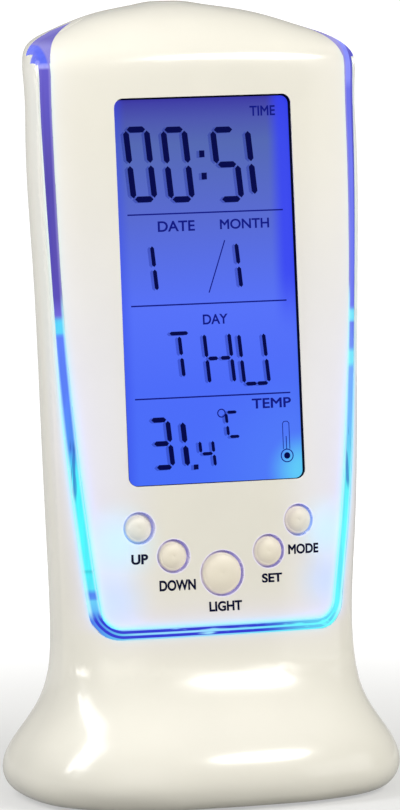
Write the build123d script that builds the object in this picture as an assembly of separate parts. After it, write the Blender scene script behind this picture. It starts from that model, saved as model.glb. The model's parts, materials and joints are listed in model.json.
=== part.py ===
"""Digital desk clock: a one-piece glossy shell on a flared foot, a front cover with a display and five
buttons, and a clear ring between the two that is lit from inside. Millimetres, +Z up, front towards -Y,
origin on the table below the middle of the foot."""
import os
from math import atan2, cos, pi, radians, sin

from build123d import *

# Shell
body_height = 149.4
base_width = 75.0
base_depth = 56.0
shell_wall = 2.0
foot_gap = 0.6
overrun = 2.0
seam = 0.08

# Each row is one level section of the shell. Its height is a share of body_height, its half width a share
# of half of base_width, and its front, widest line and back are shares of half of base_depth. The front of
# a row on the flat of the face comes from the face's own two ends instead.
face_foot_share = (0.331, -0.443)
face_head_share = (0.9, -0.175)
section_shares = (
    (0.0, 0.912, -0.9, 0.0, 0.9),
    (0.009, 0.968, -0.965, 0.0, 0.965),
    (0.026, 1.0, -1.0, 0.0, 1.0),
    (0.052, 0.985, -0.975, -0.01, 0.975),
    (0.085, 0.905, -0.87, -0.03, 0.885),
    (0.122, 0.822, -0.69, -0.075, 0.79),
    (0.163, 0.784, -0.565, -0.12, 0.738),
    (0.21, 0.777, -0.503, -0.128, 0.722),
    (0.331, 0.7945, None, -0.153, 0.735),
    (0.5, 0.8155, None, -0.15, 0.771),
    (0.665, 0.834, None, -0.122, 0.807),
    (0.83, 0.852, None, -0.055, 0.843),
    (0.9, 0.853, None, -0.035, 0.857),
    (0.933, 0.852, -0.152, 0.015, 0.855),
    (0.95, 0.804, -0.105, 0.16, 0.848),
    (0.967, 0.65, -0.02, 0.345, 0.815),
    (0.98, 0.498, 0.08, 0.42, 0.765),
    (0.99, 0.33, 0.205, 0.5, 0.71),
    (0.9965, 0.165, 0.34, 0.55, 0.66),
    (0.9995, 0.056, 0.46, 0.58, 0.63),
)
front_power = 2.4
back_power = 2.6
foot_power = 2.6
points_per_quarter = 8
dome_start_share = 0.9
narrow_row_share = 4.0

# Face: the display opening's middle, and the surface along which the front cover parts from the shell
window_height_share = 0.642
cover_depth = 5.0
ring_depth = 2.4
seat_depth = 2.0
hood_rise = 37.0
hood_centre_depth = 21.5
hood_turn = 80.0

# Front cover outline: heights above the display's middle as shares of body_height, half widths as shares
# of half of base_width. The ring's outline is the same kind of table.
cover_outline_shares = (
    (0.42, 0.784), (0.214, 0.784), (0.027, 0.771), (-0.134, 0.737), (-0.275, 0.688), (-0.423, 0.61),
)
ring_outline_shares = (
    (0.42, 0.832), (0.2, 0.832), (0.067, 0.817), (-0.054, 0.797), (-0.187, 0.769), (-0.275, 0.737),
    (-0.35, 0.705), (-0.423, 0.66),
)
cover_corner = 3.5
cover_rim = 1.6
ring_width = 1.9
pocket_wall = 1.5

# Display
window_width = 35.4
window_length = 72.9
window_corner = 1.8
window_depth = 1.5
glass_width = 39.0
glass_length = 76.6
glass_sheet = 1.1
polarizer_sheet = 0.2
contact_ledge = 2.3
glass_gap = 0.3
sheet_gap = 0.05
frame_front = 3.4
frame_width = 43.4
frame_length = 82.0
frame_corner = 2.5
guide_thickness = 2.5
reflector_sheet = 0.2
zebra_width = 1.6
zebra_margin = 3.0

# Circuit board
board_thickness = 1.6
board_inset = 2.4
board_rise = 42.6
board_fall = 57.8
board_screw_place = (23.2, 28.0)
board_post_radius = 1.8
board_screw_radius = 0.8
board_screw_head = 1.75
board_screw_head_height = 1.2
board_screw_length = 5.0
chip_place = (10.0, -27.0)
chip_radius = 6.0
chip_height = 1.5
chip_shoulder_shares = (0.8, 0.7)
crystal_place = (-8.0, -30.0)
crystal_radius = 1.05
crystal_length = 6.0
thermistor_place = (14.0, -46.0)
thermistor_radius = 1.2
ring_lamp_rises = (-7.0, -46.0)
lamp_length = 3.4
lamp_width = 1.0
lamp_height = 1.1
backlight_rises = (-24.0, 12.0)

# Buttons: distance right of and above the display's middle, and the cap's radius
button_places = {
    "up": (-16.0, -44.25, 2.7),
    "down": (-9.55, -49.8, 2.85),
    "light": (0.0, -53.5, 4.0),
    "set": (9.55, -49.8, 2.85),
    "mode": (16.0, -44.25, 2.7),
}
button_gap = 0.35
button_travel = 0.5
button_flange = 0.8
button_flange_front = 2.55
button_flange_thickness = 0.6
button_crown = 0.45
button_round = 0.45
button_sink = 0.05
collar_wall = 0.9
collar_front = 1.55
running_gap = 0.06
switch_size = 5.2
switch_height = 3.3
plunger_radius = 1.5
plunger_rise = 0.65
plunger_depth = 1.2

# Batteries and their door
cell_radius = 5.25
cell_length = 44.5
cell_nub_radius = 1.9
cell_nub_height = 0.9
cell_pitch = 11.0
cell_count = 3
cell_back = 2.35
bay_height = 69.5
bay_end_gap = 2.6
bay_side_gap = 1.0
bay_wall = 1.5
spring_small_radius = 1.6
spring_large_radius = 3.4
plate_thickness = 0.4
door_lap = 0.75
door_gap = 0.25
door_corner = 3.0
door_grip_count = 4
door_grip_pitch = 1.8
door_grip_width = 0.8
door_grip_depth = 0.35
door_grip_length = 14.0
thumb_radius = 6.0
thumb_depth = 0.9

# Speaker
speaker_height = 119.0
speaker_radius = 13.5
speaker_thickness = 3.0
speaker_floor = 0.8
speaker_flange = 1.6
speaker_set_back = 3.6
magnet_radius = 8.0
magnet_thickness = 3.2
cone_angle_drop = 1.6
cone_sheet = 0.3
gasket_thickness = 1.0
collar_gap = 0.3
speaker_collar_wall = 1.3
grille_hole_radius = 0.8
grille_pitch = 3.0
grille_rings = 3

# Case screws, driven from the back into posts on the front cover
upper_case_screw = (16.0, 45.3)
lower_case_screw = (14.5, -59.3)
case_post_radius = 2.1
case_post_length = 8.0
case_screw_radius = 0.9
case_screw_head = 2.1
case_screw_head_height = 1.6
case_screw_length = 8.0
case_screw_clearance = 0.25
case_well_wall = 1.1
case_well_floor = 1.5
board_notch_gap = 0.5

# Foot
base_plate_thickness = 2.0
plate_gap = 0.2
plate_recess = 0.4
pad_place = (19.5, 14.5)
pad_radius = 3.8
pad_recess = 0.9
base_screw_place = (26.0, 13.0)
base_boss_radius = 2.6
base_screw_radius = 1.1
base_screw_head = 2.1
base_screw_head_height = 1.3
base_screw_length = 7.0

half_width = base_width / 2
half_depth = base_depth / 2


def height_at(share):
    """Height above the table of a level in the shell."""
    return foot_gap + share * body_height


def face_y(height):
    """Where the middle line of the flat face lies at a height."""
    foot_z, foot_y = height_at(face_foot_share[0]), face_foot_share[1] * half_depth
    head_z, head_y = height_at(face_head_share[0]), face_head_share[1] * half_depth
    return foot_y + (head_y - foot_y) * (height - foot_z) / (head_z - foot_z)


window_height = height_at(window_height_share)
face_lean = atan2(face_y(window_height + overrun) - face_y(window_height), overrun)
face_plane = Plane(
    origin=(0, face_y(window_height), window_height),
    x_dir=(1, 0, 0),
    z_dir=(0, -cos(face_lean), sin(face_lean)),
)
face_place = face_plane.location
side_plane = Plane(
    origin=face_plane.origin, x_dir=(0, cos(face_lean), -sin(face_lean)), z_dir=(1, 0, 0)
)


def section_row(share):
    """Half width, front, widest line and back of the shell at a height share, between two rows."""
    for low, high in zip(section_shares, section_shares[1:]):
        if low[0] <= share <= high[0]:
            part = (share - low[0]) / (high[0] - low[0])
            width, mid, back = (low[i] + (high[i] - low[i]) * part for i in (1, 3, 4))
            return width * half_width, face_y(height_at(share)), mid * half_depth, back * half_depth
    raise ValueError("height share outside the shell")


def face_drop(across, rise):
    """How far the curved face lies behind its own middle line, at a place on it."""
    share = (window_height + rise * cos(face_lean) - foot_gap) / body_height
    width, front, mid, _ = section_row(share)
    bulge = 1 - (1 - (abs(across) / width) ** front_power) ** (1 / front_power)
    return (mid - front) * bulge


def section_wire(share, width_share, front_share, mid_share, back_share, inset):
    """One level section of the shell, drawn in from the outside by the inset."""
    height = height_at(share)
    front = face_y(height) if front_share is None else front_share * half_depth
    power = foot_power if share < face_foot_share[0] / 2 else front_power
    width = width_share * half_width - inset
    mid = mid_share * half_depth
    front_run = mid - front - inset
    back_run = back_share * half_depth - mid - inset
    if share > dome_start_share:
        height -= inset * (share - dome_start_share) / (1 - dome_start_share)
    points = []
    for step in range(points_per_quarter + 1):
        turn = step / points_per_quarter * pi / 2
        reach = 2 / power
        points.append(Vector(width * sin(turn) ** reach, mid - front_run * cos(turn) ** reach, height))
    for step in range(1, points_per_quarter + 1):
        turn = (1 - step / points_per_quarter) * pi / 2
        reach = 2 / back_power
        points.append(Vector(width * sin(turn) ** reach, mid + back_run * cos(turn) ** reach, height))
    knots = [step / (2 * points_per_quarter) for step in range(2 * points_per_quarter + 1)]
    right = Edge.make_spline(points, tangents=[(1, 0, 0), (-1, 0, 0)], parameters=knots, scale=False)
    return Wire([right, right.mirror(Plane.YZ)])


def shell_form(inset):
    """The whole shell as one solid, drawn in by the inset. An inset form runs on through the bottom."""
    rows = [row for row in section_shares if row[1] * half_width > narrow_row_share * inset]
    wires = [section_wire(*row, inset) for row in rows]
    form = Solid.make_loft(wires)
    if inset:
        mouth = Face(wires[0])
        form = form + extrude(mouth, amount=foot_gap + overrun, dir=(0, 0, -1))
    return form


def ahead_of(depth):
    """Everything in front of the parting surface, which runs behind the face and bends over the dome."""
    reach = body_height
    radius = hood_centre_depth - depth
    turn = radians(hood_turn)
    middle = radians(hood_turn / 2)
    bend_end = (hood_centre_depth - radius * cos(turn), hood_rise + radius * sin(turn))
    bend_middle = (hood_centre_depth - radius * cos(middle), hood_rise + radius * sin(middle))
    far_end = (bend_end[0] + reach * sin(turn), bend_end[1] + reach * cos(turn))
    path = [
        Line((depth, -reach), (depth, hood_rise)),
        ThreePointArc((depth, hood_rise), bend_middle, bend_end),
        Line(bend_end, far_end),
        Polyline(far_end, (far_end[0], far_end[1] + reach), (-reach, far_end[1] + reach), (-reach, -reach),
                 (depth, -reach)),
    ]
    profile = make_face(side_plane * Curve(path))
    return extrude(profile, amount=base_width, both=True)


def front_outline(shares, fall, corner, inset=0.0, top=None):
    """Outline on the face: curved sides from a table of shares, a straight foot with rounded corners."""
    side = []
    for rise_share, width_share in shares:
        side.append((width_share * half_width - inset, rise_share * body_height))
    side[-1] = (side[-1][0], -fall + inset)
    left = [(-across, rise) for across, rise in reversed(side)]
    edges = [Spline(*side), Line(side[-1], left[0]), Spline(*left), Line(left[-1], side[0])]
    outline = make_face(Curve(edges))
    feet = outline.vertices().sort_by(Axis.Y)[:2]
    outline = fillet(feet, corner - inset)
    if top is not None:
        outline = outline & Pos(0, top - body_height) * Rectangle(base_width, 2 * body_height)
    return outline


def through(outline):
    """An outline on the face, run right through the clock."""
    return face_place * extrude(outline, amount=body_height, both=True)


def plate(outline, front, back):
    """A plate between two depths behind the face, from its outline on the face."""
    return face_place * extrude(Pos(0, 0, -back) * outline, amount=back - front)


def rod(across, rise, radius, front, back):
    """A round rod between two depths behind the face."""
    return plate(Pos(across, rise) * Circle(radius), front, back)


def level_rod(across, height, radius, front_y, back_y):
    """A round rod that runs level from front to back."""
    return extrude(Plane.XZ.offset(-front_y) * Pos(across, height) * Circle(radius), amount=front_y - back_y)


def turned(points, axis=Axis.Z):
    """A solid of revolution from a closed profile in the XZ plane."""
    return revolve(make_face(Plane.XZ * Polyline(*points, close=True)), axis=axis)


def at_face(across, rise, depth):
    """Place of a piece on the face, its own +Z pointing out of the clock."""
    return face_place * Pos(across, rise, -depth)


def save(name, *solids):
    """Write one sub-part, made of one or more separate solids."""
    shape = solids[0] if len(solids) == 1 else Compound(children=list(solids))
    export_step(shape, f"parts/{name}.step")


def four(place):
    """The four mirrored places of one corner place."""
    return [(x * place[0], y * place[1]) for x in (-1, 1) for y in (-1, 1)]


# Depths behind the face that stack up behind the display window
front_polarizer_front = window_depth + sheet_gap
front_glass_front = front_polarizer_front + polarizer_sheet
rear_glass_front = front_glass_front + glass_sheet
rear_polarizer_front = rear_glass_front + glass_sheet
guide_front = rear_polarizer_front + polarizer_sheet + sheet_gap
reflector_front = guide_front + guide_thickness
board_front = reflector_front + reflector_sheet + 2 * sheet_gap
board_back = board_front + board_thickness
cover_fall = -cover_outline_shares[-1][0] * body_height
ring_fall = cover_fall + ring_width
ring_back = cover_depth + ring_depth
guide_width = window_width + 2 * sheet_gap
guide_length = glass_length - 2 * contact_ledge - glass_gap


def front_void(cavity):
    """The hollow behind the front cover's wall, open through the ring to the shell."""
    inner = front_outline(cover_outline_shares, cover_fall, cover_corner, cover_rim)
    return cavity & through(inner)


def case_screw_places():
    """Each case screw: across, height, and the depth of its post's rear end along Y."""
    places = []
    for across, rise in (upper_case_screw, lower_case_screw):
        height = window_height + rise * cos(face_lean)
        end = face_y(height) + case_post_length
        places += [(-across, height, end), (across, height, end)]
    return places


def make_front_cover(outer, cavity):
    """Fascia and hood in one moulding, with its screw posts and button collars on the back."""
    outline = front_outline(cover_outline_shares, cover_fall, cover_corner)
    block = outer & ahead_of(cover_depth) & through(outline)
    cover = block - front_void(cavity)
    for across, rise in four(board_screw_place):
        post = rod(across, rise, board_post_radius, window_depth, board_front - sheet_gap)
        cover += post & outer
        cover -= rod(across, rise, board_screw_radius, board_front - board_screw_length, board_front)
    for across, height, end in case_screw_places():
        post = level_rod(across, height, case_post_radius, face_y(height) + window_depth, end)
        cover += post & outer
        pilot = level_rod(across, height, case_screw_radius, end - case_screw_length + case_well_floor, end)
        cover -= pilot
    for across, rise, radius in button_places.values():
        hole = radius + button_gap
        cover += rod(across, rise, hole + collar_wall, collar_front, button_flange_front - running_gap)
        cover -= rod(across, rise, radius + button_flange + button_gap, button_flange_front - running_gap,
                     button_flange_front + button_flange)
        cover -= rod(across, rise, hole, -overrun, board_front)
    window = RectangleRounded(window_width, window_length, window_corner)
    pocket = Rectangle(glass_width + glass_gap, glass_length + glass_gap)
    cover -= plate(window, -overrun, window_depth + overrun)
    cover -= plate(pocket, window_depth, frame_front)
    rest = RectangleRounded(frame_width + glass_gap, frame_length + glass_gap, frame_corner)
    cover -= plate(rest, frame_front - sheet_gap, board_front)
    return cover


def make_light_ring(outer, cavity):
    """Clear ring: a flange between cover and shell, and a lip that shows round the cover's edge."""
    outline = front_outline(cover_outline_shares, cover_fall, cover_corner, -seam)
    lip = front_outline(ring_outline_shares, ring_fall, cover_corner + ring_width)
    ring = outer & ahead_of(ring_back) & through(lip)
    return ring - (ahead_of(cover_depth + seam) & through(outline)) - front_void(cavity)


def make_display():
    """Everything between the cover's window and the circuit board."""
    polarizer = Rectangle(window_width + contact_ledge, window_length + contact_ledge)
    save("lcd_front_polarizer", plate(polarizer, front_polarizer_front, front_glass_front))
    save("lcd_front_glass", plate(Rectangle(glass_width, glass_length), front_glass_front, rear_glass_front))
    rear = Rectangle(glass_width, glass_length - 2 * contact_ledge)
    save("lcd_rear_glass", plate(rear, rear_glass_front, rear_polarizer_front))
    save("lcd_rear_polarizer", plate(polarizer & rear, rear_polarizer_front, guide_front - sheet_gap))
    guide = Rectangle(guide_width, guide_length)
    save("backlight_guide", plate(guide, guide_front, reflector_front))
    save("backlight_reflector", plate(guide, reflector_front + sheet_gap, board_front - sheet_gap))
    frame = RectangleRounded(frame_width, frame_length, frame_corner)
    frame -= Rectangle(glass_width + glass_gap, glass_length + glass_gap)
    for across, rise, radius in button_places.values():
        frame -= Pos(across, rise) * Circle(radius + button_flange + button_gap)
    save("lcd_frame", plate(frame, frame_front, board_front - sheet_gap))
    strips = []
    for side in (-1, 1):
        rise = side * (glass_length - contact_ledge) / 2
        strip = Pos(0, rise) * Rectangle(glass_width - zebra_margin, zebra_width)
        strips.append(plate(strip, rear_glass_front + sheet_gap, board_front - sheet_gap))
    save("zebra_strips", *strips)
    lamps = []
    across = (guide_width + lamp_width) / 2 + sheet_gap
    for rise in backlight_rises:
        lamp = Pos(across, rise) * Rectangle(lamp_width, lamp_length)
        lamps.append(plate(lamp, board_front - lamp_height, board_front))
    save("backlight_leds", *lamps)


def cover_half_width(rise):
    """Half width of the front cover at a rise above the display's middle, between the table's rows."""
    share = rise / body_height
    for high, low in zip(cover_outline_shares, cover_outline_shares[1:]):
        if low[0] <= share <= high[0]:
            part = (share - low[0]) / (high[0] - low[0])
            return (low[1] + (high[1] - low[1]) * part) * half_width
    raise ValueError("rise outside the cover")


def make_circuit():
    """Circuit board with what is soldered to it, and its screws."""
    outline = front_outline(cover_outline_shares, board_fall + board_inset, cover_corner + board_inset,
                            board_inset, board_rise)
    board = plate(outline, board_front, board_back)
    screws = []
    for across, rise in four(board_screw_place):
        board -= rod(across, rise, board_screw_radius + case_screw_clearance, 0, body_height)
        shank_front = board_back - board_screw_length
        shank = rod(across, rise, board_screw_radius, shank_front, board_back)
        head = rod(across, rise, board_screw_head, board_back, board_back + board_screw_head_height)
        screws.append(shank + head)
    well = case_screw_head + case_screw_clearance + case_well_wall
    for across, height, _ in case_screw_places():
        board -= level_rod(across, height, well + board_notch_gap, -half_depth, half_depth)
    save("main_pcb", board)
    save("pcb_screws", *screws)
    shoulder = (chip_radius * chip_shoulder_shares[0], chip_height * chip_shoulder_shares[1])
    dome = turned([(0, 0), (chip_radius, 0), shoulder, (0, chip_height)])
    save("controller_chip", at_face(*chip_place, board_back) * Rot(180, 0, 0) * dome)
    can = Rot(90, 0, 0) * Cylinder(crystal_radius, crystal_length)
    save("quartz_crystal", face_place * Pos(*crystal_place, -board_back - crystal_radius) * can)
    bead = Pos(*thermistor_place, -board_back - thermistor_radius) * Sphere(thermistor_radius)
    save("thermistor", face_place * bead)
    lamps = []
    for rise in ring_lamp_rises:
        across = cover_half_width(rise) - board_inset - lamp_width
        for side in (-1, 1):
            lamp = Pos(side * across, rise) * Rectangle(lamp_width, lamp_length)
            lamps.append(plate(lamp, board_front - lamp_height, board_front))
    save("ring_leds", *lamps)


def make_buttons():
    """Five domed caps with retaining flanges, each on its own tact switch."""
    bodies = []
    plunger_front = board_front - switch_height - plunger_rise
    for name, (across, rise, radius) in button_places.items():
        crown = face_drop(across, rise) + button_sink
        dome_edge = crown + button_crown
        dome_radius = radius - button_round
        half_turn = pi / 4
        dome_middle = (dome_radius * sin(half_turn), -crown - button_crown * (1 - cos(half_turn)))
        corner_middle = (dome_radius + button_round * sin(half_turn),
                         -dome_edge - button_round * (1 - cos(half_turn)))
        side_start = (radius, -dome_edge - button_round)
        flange_radius = radius + button_flange
        flange_back = button_flange_front + button_flange_thickness
        profile = [
            ThreePointArc((0, -crown), dome_middle, (dome_radius, -dome_edge)),
            ThreePointArc((dome_radius, -dome_edge), corner_middle, side_start),
            Polyline(side_start, (radius, -button_flange_front), (flange_radius, -button_flange_front),
                     (flange_radius, -flange_back), (plunger_radius, -flange_back),
                     (plunger_radius, -plunger_front), (0, -plunger_front), (0, -crown)),
        ]
        cap = revolve(make_face(Plane.XZ * Curve(profile)), axis=Axis.Z)
        save(f"{name}_button", at_face(across, rise, 0) * cap)
        body_front = board_front - switch_height
        body = plate(Pos(across, rise) * Rectangle(switch_size, switch_size), body_front, board_front)
        bore_back = body_front + plunger_depth + button_travel + running_gap
        bodies.append(body - rod(across, rise, plunger_radius + running_gap, body_front - overrun, bore_back))
        save(f"{name}_plunger", rod(across, rise, plunger_radius, plunger_front, body_front + plunger_depth))
    save("switch_bodies", *bodies)


# The bay: its outline, its cells and the plane of its floor
bay_width = cell_count * cell_pitch + 2 * bay_side_gap
bay_length = cell_length + 2 * bay_end_gap
cell_y = section_row((bay_height - foot_gap) / body_height)[3] - shell_wall - cell_back - cell_radius
bay_front = cell_y - cell_radius - sheet_gap
door_width = bay_width + 2 * door_lap
door_length = bay_length + 2 * door_lap


def rear_box(width, length, height, front, back, corner=0.0):
    """A box seen from the back, between two depths along Y."""
    outline = RectangleRounded(width, length, corner) if corner else Rectangle(width, length)
    return extrude(Plane.XZ.offset(-front) * Pos(0, height) * outline, amount=front - back)


def make_batteries(outer, door_form):
    """Three cells, their contacts, and the door that lifts off the back."""
    cells, springs, plates = [], [], []
    for number in range(cell_count):
        across = (number - (cell_count - 1) / 2) * cell_pitch
        way = 1 if number % 2 == 0 else -1
        half = cell_length / 2
        profile = [(0, -half), (cell_radius, -half), (cell_radius, half - cell_nub_height),
                   (cell_nub_radius, half - cell_nub_height), (cell_nub_radius, half), (0, half)]
        flip = Rot(0, 0, 0) if way > 0 else Rot(180, 0, 0)
        place = Pos(across, cell_y, bay_height)
        cells.append(place * flip * turned(profile))
        end = half + bay_end_gap
        contact = Box(2 * spring_large_radius, 2 * spring_large_radius, plate_thickness)
        plates.append(place * flip * Pos(0, 0, end - plate_thickness / 2) * contact)
        spring = turned([(0, -end), (spring_large_radius, -end), (spring_small_radius, -half - sheet_gap),
                         (0, -half - sheet_gap)])
        springs.append(place * flip * spring)
    save("battery_cells", *cells)
    save("contact_springs", *springs)
    save("contact_plates", *plates)
    back = base_depth
    door_outside = (door_width - 2 * door_gap, door_length - 2 * door_gap)
    door = (outer & rear_box(*door_outside, bay_height, cell_y, back, door_corner)) - door_form
    for number in range(door_grip_count):
        height = bay_height + door_length / 2 - thumb_radius - number * door_grip_pitch
        surface = section_row((height - foot_gap) / body_height)[3]
        door -= rear_box(door_grip_length, door_grip_width, height, surface - door_grip_depth, back)
    save("battery_door", door)


def make_speaker():
    """A round sounder behind the grille, with its gasket. Returns where its flange lies along Y."""
    wall = section_row((speaker_height - foot_gap) / body_height)[3] - shell_wall
    face = wall - speaker_set_back
    place = Pos(0, face, speaker_height) * Rot(-90, 0, 0)
    wall_radius = speaker_radius - speaker_flange
    mouth_radius = wall_radius - speaker_flange
    floor = speaker_floor - speaker_thickness
    basket = turned([(magnet_radius, -speaker_thickness), (wall_radius, -speaker_thickness),
                     (wall_radius, -speaker_floor), (speaker_radius, -speaker_floor), (speaker_radius, 0),
                     (mouth_radius, 0), (mouth_radius, floor), (magnet_radius, floor)])
    save("speaker_basket", place * basket)
    magnet_back = -speaker_thickness - magnet_thickness
    magnet = turned([(0, magnet_back), (magnet_radius, magnet_back), (magnet_radius, -speaker_thickness),
                     (0, -speaker_thickness)])
    save("speaker_magnet", place * magnet)
    cone_edge = mouth_radius - seam
    cone = turned([(0, -cone_angle_drop - cone_sheet), (cone_edge, -cone_sheet), (cone_edge, 0),
                   (0, -cone_angle_drop)])
    save("speaker_cone", place * cone)
    gasket = turned([(mouth_radius, 0), (speaker_radius, 0), (speaker_radius, gasket_thickness),
                     (mouth_radius, gasket_thickness)])
    save("speaker_gasket", place * gasket)
    return face


def make_foot():
    """Base plate, its screws and four pads."""
    bottom = foot_gap + plate_recess
    mouth = Face(section_wire(*section_shares[0], shell_wall + plate_gap))
    base = extrude(Pos(0, 0, plate_recess) * mouth, amount=base_plate_thickness, dir=(0, 0, 1))
    pads, screws = [], []
    for x, y in four(pad_place):
        base -= Pos(x, y, bottom) * Cylinder(pad_radius + seam, 2 * pad_recess)
        pads.append(Pos(x, y, (bottom + pad_recess) / 2) * Cylinder(pad_radius, bottom + pad_recess))
    for x, y in four(base_screw_place):
        head_top = bottom + base_screw_head_height
        hole_radius = base_screw_radius + case_screw_clearance
        sink_radius = base_screw_head + case_screw_clearance
        base -= Pos(x, y, bottom) * Cylinder(hole_radius, 2 * base_plate_thickness + overrun)
        base -= Pos(x, y, bottom) * Cylinder(sink_radius, 2 * base_screw_head_height)
        head = Cylinder(base_screw_head, base_screw_head_height)
        shank = Cylinder(base_screw_radius, base_screw_length)
        screws.append(Pos(x, y, bottom + base_screw_head_height / 2) * head
                      + Pos(x, y, head_top + base_screw_length / 2) * shank)
    save("base_plate", base)
    save("rubber_feet", *pads)
    save("base_screws", *screws)


def make_case_screws():
    """Four screws at the bottom of the wells in the back."""
    screws = []
    for across, height, end in case_screw_places():
        seat = end + case_well_floor
        shank = level_rod(across, height, case_screw_radius, seat - case_screw_length, seat)
        screws.append(shank + level_rod(across, height, case_screw_head, seat, seat + case_screw_head_height))
    save("case_screws", *screws)


def make_housing(outer, cavity, speaker_face):
    """The one-piece shell with the ring's seat, the battery bay, screw wells and the speaker's collar."""
    lip = front_outline(ring_outline_shares, ring_fall, cover_corner + ring_width, -seam)
    pocket = front_outline(ring_outline_shares, ring_fall, cover_corner + ring_width, -pocket_wall)
    mouth = ahead_of(ring_back + seam) & through(lip)
    void = front_void(cavity)
    housing = outer - cavity
    housing += (outer & ahead_of(ring_back + seat_depth) & through(pocket)) - void
    housing -= mouth
    back = base_depth
    bay_outside = (bay_width + 2 * bay_wall, bay_length + 2 * bay_wall)
    housing += rear_box(*bay_outside, bay_height, bay_front - bay_wall, back) & cavity
    housing -= rear_box(door_width, door_length, bay_height, cell_y, back, door_corner) - cavity
    housing -= rear_box(bay_width, bay_length, bay_height, bay_front, back)
    thumb_height = bay_height + door_length / 2
    thumb_y = section_row((thumb_height - foot_gap) / body_height)[3]
    housing -= Pos(0, thumb_y + thumb_radius - thumb_depth, thumb_height) * Sphere(thumb_radius)
    for across, height, end in case_screw_places():
        well = case_screw_head + case_screw_clearance
        housing += level_rod(across, height, well + case_well_wall, end, back) & cavity
        housing -= level_rod(across, height, well, end + case_well_floor, back)
        housing -= level_rod(across, height, case_screw_radius + case_screw_clearance, end - overrun, back)
    collar_inner = speaker_radius + collar_gap
    collar_front = speaker_face - speaker_thickness
    collar = level_rod(0, speaker_height, collar_inner + speaker_collar_wall, collar_front, back)
    collar -= level_rod(0, speaker_height, collar_inner, collar_front - overrun, back)
    collar += level_rod(0, speaker_height, speaker_radius, speaker_face + gasket_thickness, back) - level_rod(
        0, speaker_height, speaker_radius - 2 * speaker_flange, speaker_face, back)
    housing += collar & cavity
    for ring in range(grille_rings):
        count = max(1, 6 * ring)
        for number in range(count):
            turn = 2 * pi * number / count
            x, z = ring * grille_pitch * cos(turn), speaker_height + ring * grille_pitch * sin(turn)
            housing -= level_rod(x, z, grille_hole_radius, speaker_face + gasket_thickness, back)
    for x, y in four(base_screw_place):
        low = foot_gap + plate_recess + base_plate_thickness
        boss = Pos(x, y, low + half_depth / 2) * Cylinder(base_boss_radius, half_depth)
        housing += boss & outer
        housing -= Pos(x, y, low) * Cylinder(base_screw_radius, 2 * base_screw_length)
    return housing


def main():
    """Build every sub-part and write it to its own file."""
    os.makedirs("parts", exist_ok=True)
    outer = shell_form(0.0)
    cavity = shell_form(shell_wall)
    door_form = shell_form(shell_wall - door_gap)
    save("front_cover", make_front_cover(outer, cavity))
    save("light_ring", make_light_ring(outer, cavity))
    make_display()
    make_circuit()
    make_buttons()
    make_batteries(outer, door_form)
    speaker_face = make_speaker()
    make_foot()
    make_case_screws()
    save("main_housing", make_housing(outer, cavity, speaker_face))


main()
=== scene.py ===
"""Looks of the digital desk clock: finishes, display figures, printed captions, light and camera.

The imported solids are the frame. Shells and caps are taken over from them as smoothed copies, and the
display's figures, the captions and the small trim are modelled here. Lengths are in metres, but places on
the face and all that is drawn there are in millimetres from the display's middle.
"""

import json
import logging
from contextlib import contextmanager
from dataclasses import dataclass, field, replace
from enum import Enum
from math import cos, pi, radians, sin, tan
from typing import Callable, Iterable, Iterator, NamedTuple, Optional, Sequence, Union

import bpy
import numpy as np
from mathutils import Euler, Matrix, Vector
from mathutils.bvhtree import BVHTree
from mathutils.interpolate import poly_3d_calc

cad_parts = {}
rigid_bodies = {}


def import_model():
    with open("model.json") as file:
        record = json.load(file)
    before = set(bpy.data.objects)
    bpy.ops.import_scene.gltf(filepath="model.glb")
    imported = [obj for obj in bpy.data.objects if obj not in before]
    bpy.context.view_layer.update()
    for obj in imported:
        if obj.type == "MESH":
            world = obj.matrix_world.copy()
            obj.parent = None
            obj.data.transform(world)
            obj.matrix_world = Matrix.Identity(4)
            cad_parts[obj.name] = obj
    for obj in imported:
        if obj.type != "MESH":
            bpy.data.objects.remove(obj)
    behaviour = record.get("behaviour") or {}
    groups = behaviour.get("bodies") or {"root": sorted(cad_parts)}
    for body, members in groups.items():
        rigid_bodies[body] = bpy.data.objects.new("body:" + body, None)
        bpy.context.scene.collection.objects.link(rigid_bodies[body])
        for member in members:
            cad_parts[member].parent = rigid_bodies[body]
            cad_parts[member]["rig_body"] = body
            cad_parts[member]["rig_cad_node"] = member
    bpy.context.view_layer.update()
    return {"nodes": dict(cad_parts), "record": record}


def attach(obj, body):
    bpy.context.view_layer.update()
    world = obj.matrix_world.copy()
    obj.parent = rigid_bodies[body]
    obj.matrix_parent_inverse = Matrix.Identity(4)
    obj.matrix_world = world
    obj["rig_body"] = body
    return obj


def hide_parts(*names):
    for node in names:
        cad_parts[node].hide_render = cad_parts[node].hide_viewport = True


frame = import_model()
LOG = logging.getLogger("desk_clock")
MM = 0.001
MERGE = 0.002 * MM
SMOOTH_ANGLE = radians(32)
NOISE_RANGE = (0.3, 0.7)
BROAD_GRAIN, FINE_GRAIN, INK_GRAIN = 45.0, 900.0, 1500.0
Pair = tuple[float, float]
Triple = tuple[float, float, float]
Screen = tuple[int, int, int]
Stop = tuple[float, Screen]


class Finish(Enum):
    """Record slots of the finishes."""

    SHELL = "white_shell"
    BUTTON = "white_buttons"
    MATTE = "white_matte"
    RING = "clear_ring"
    GLASS = "display_glass"
    FILM = "display_film"
    GUIDE = "light_guide"
    LAMP = "lamp"
    RUBBER = "rubber"
    BOARD = "circuit_board"
    RESIN = "black_resin"
    SWITCH = "switch_metal"
    STEEL = "steel"
    FOAM = "foam"
    CELL = "cell_wrap"


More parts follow.
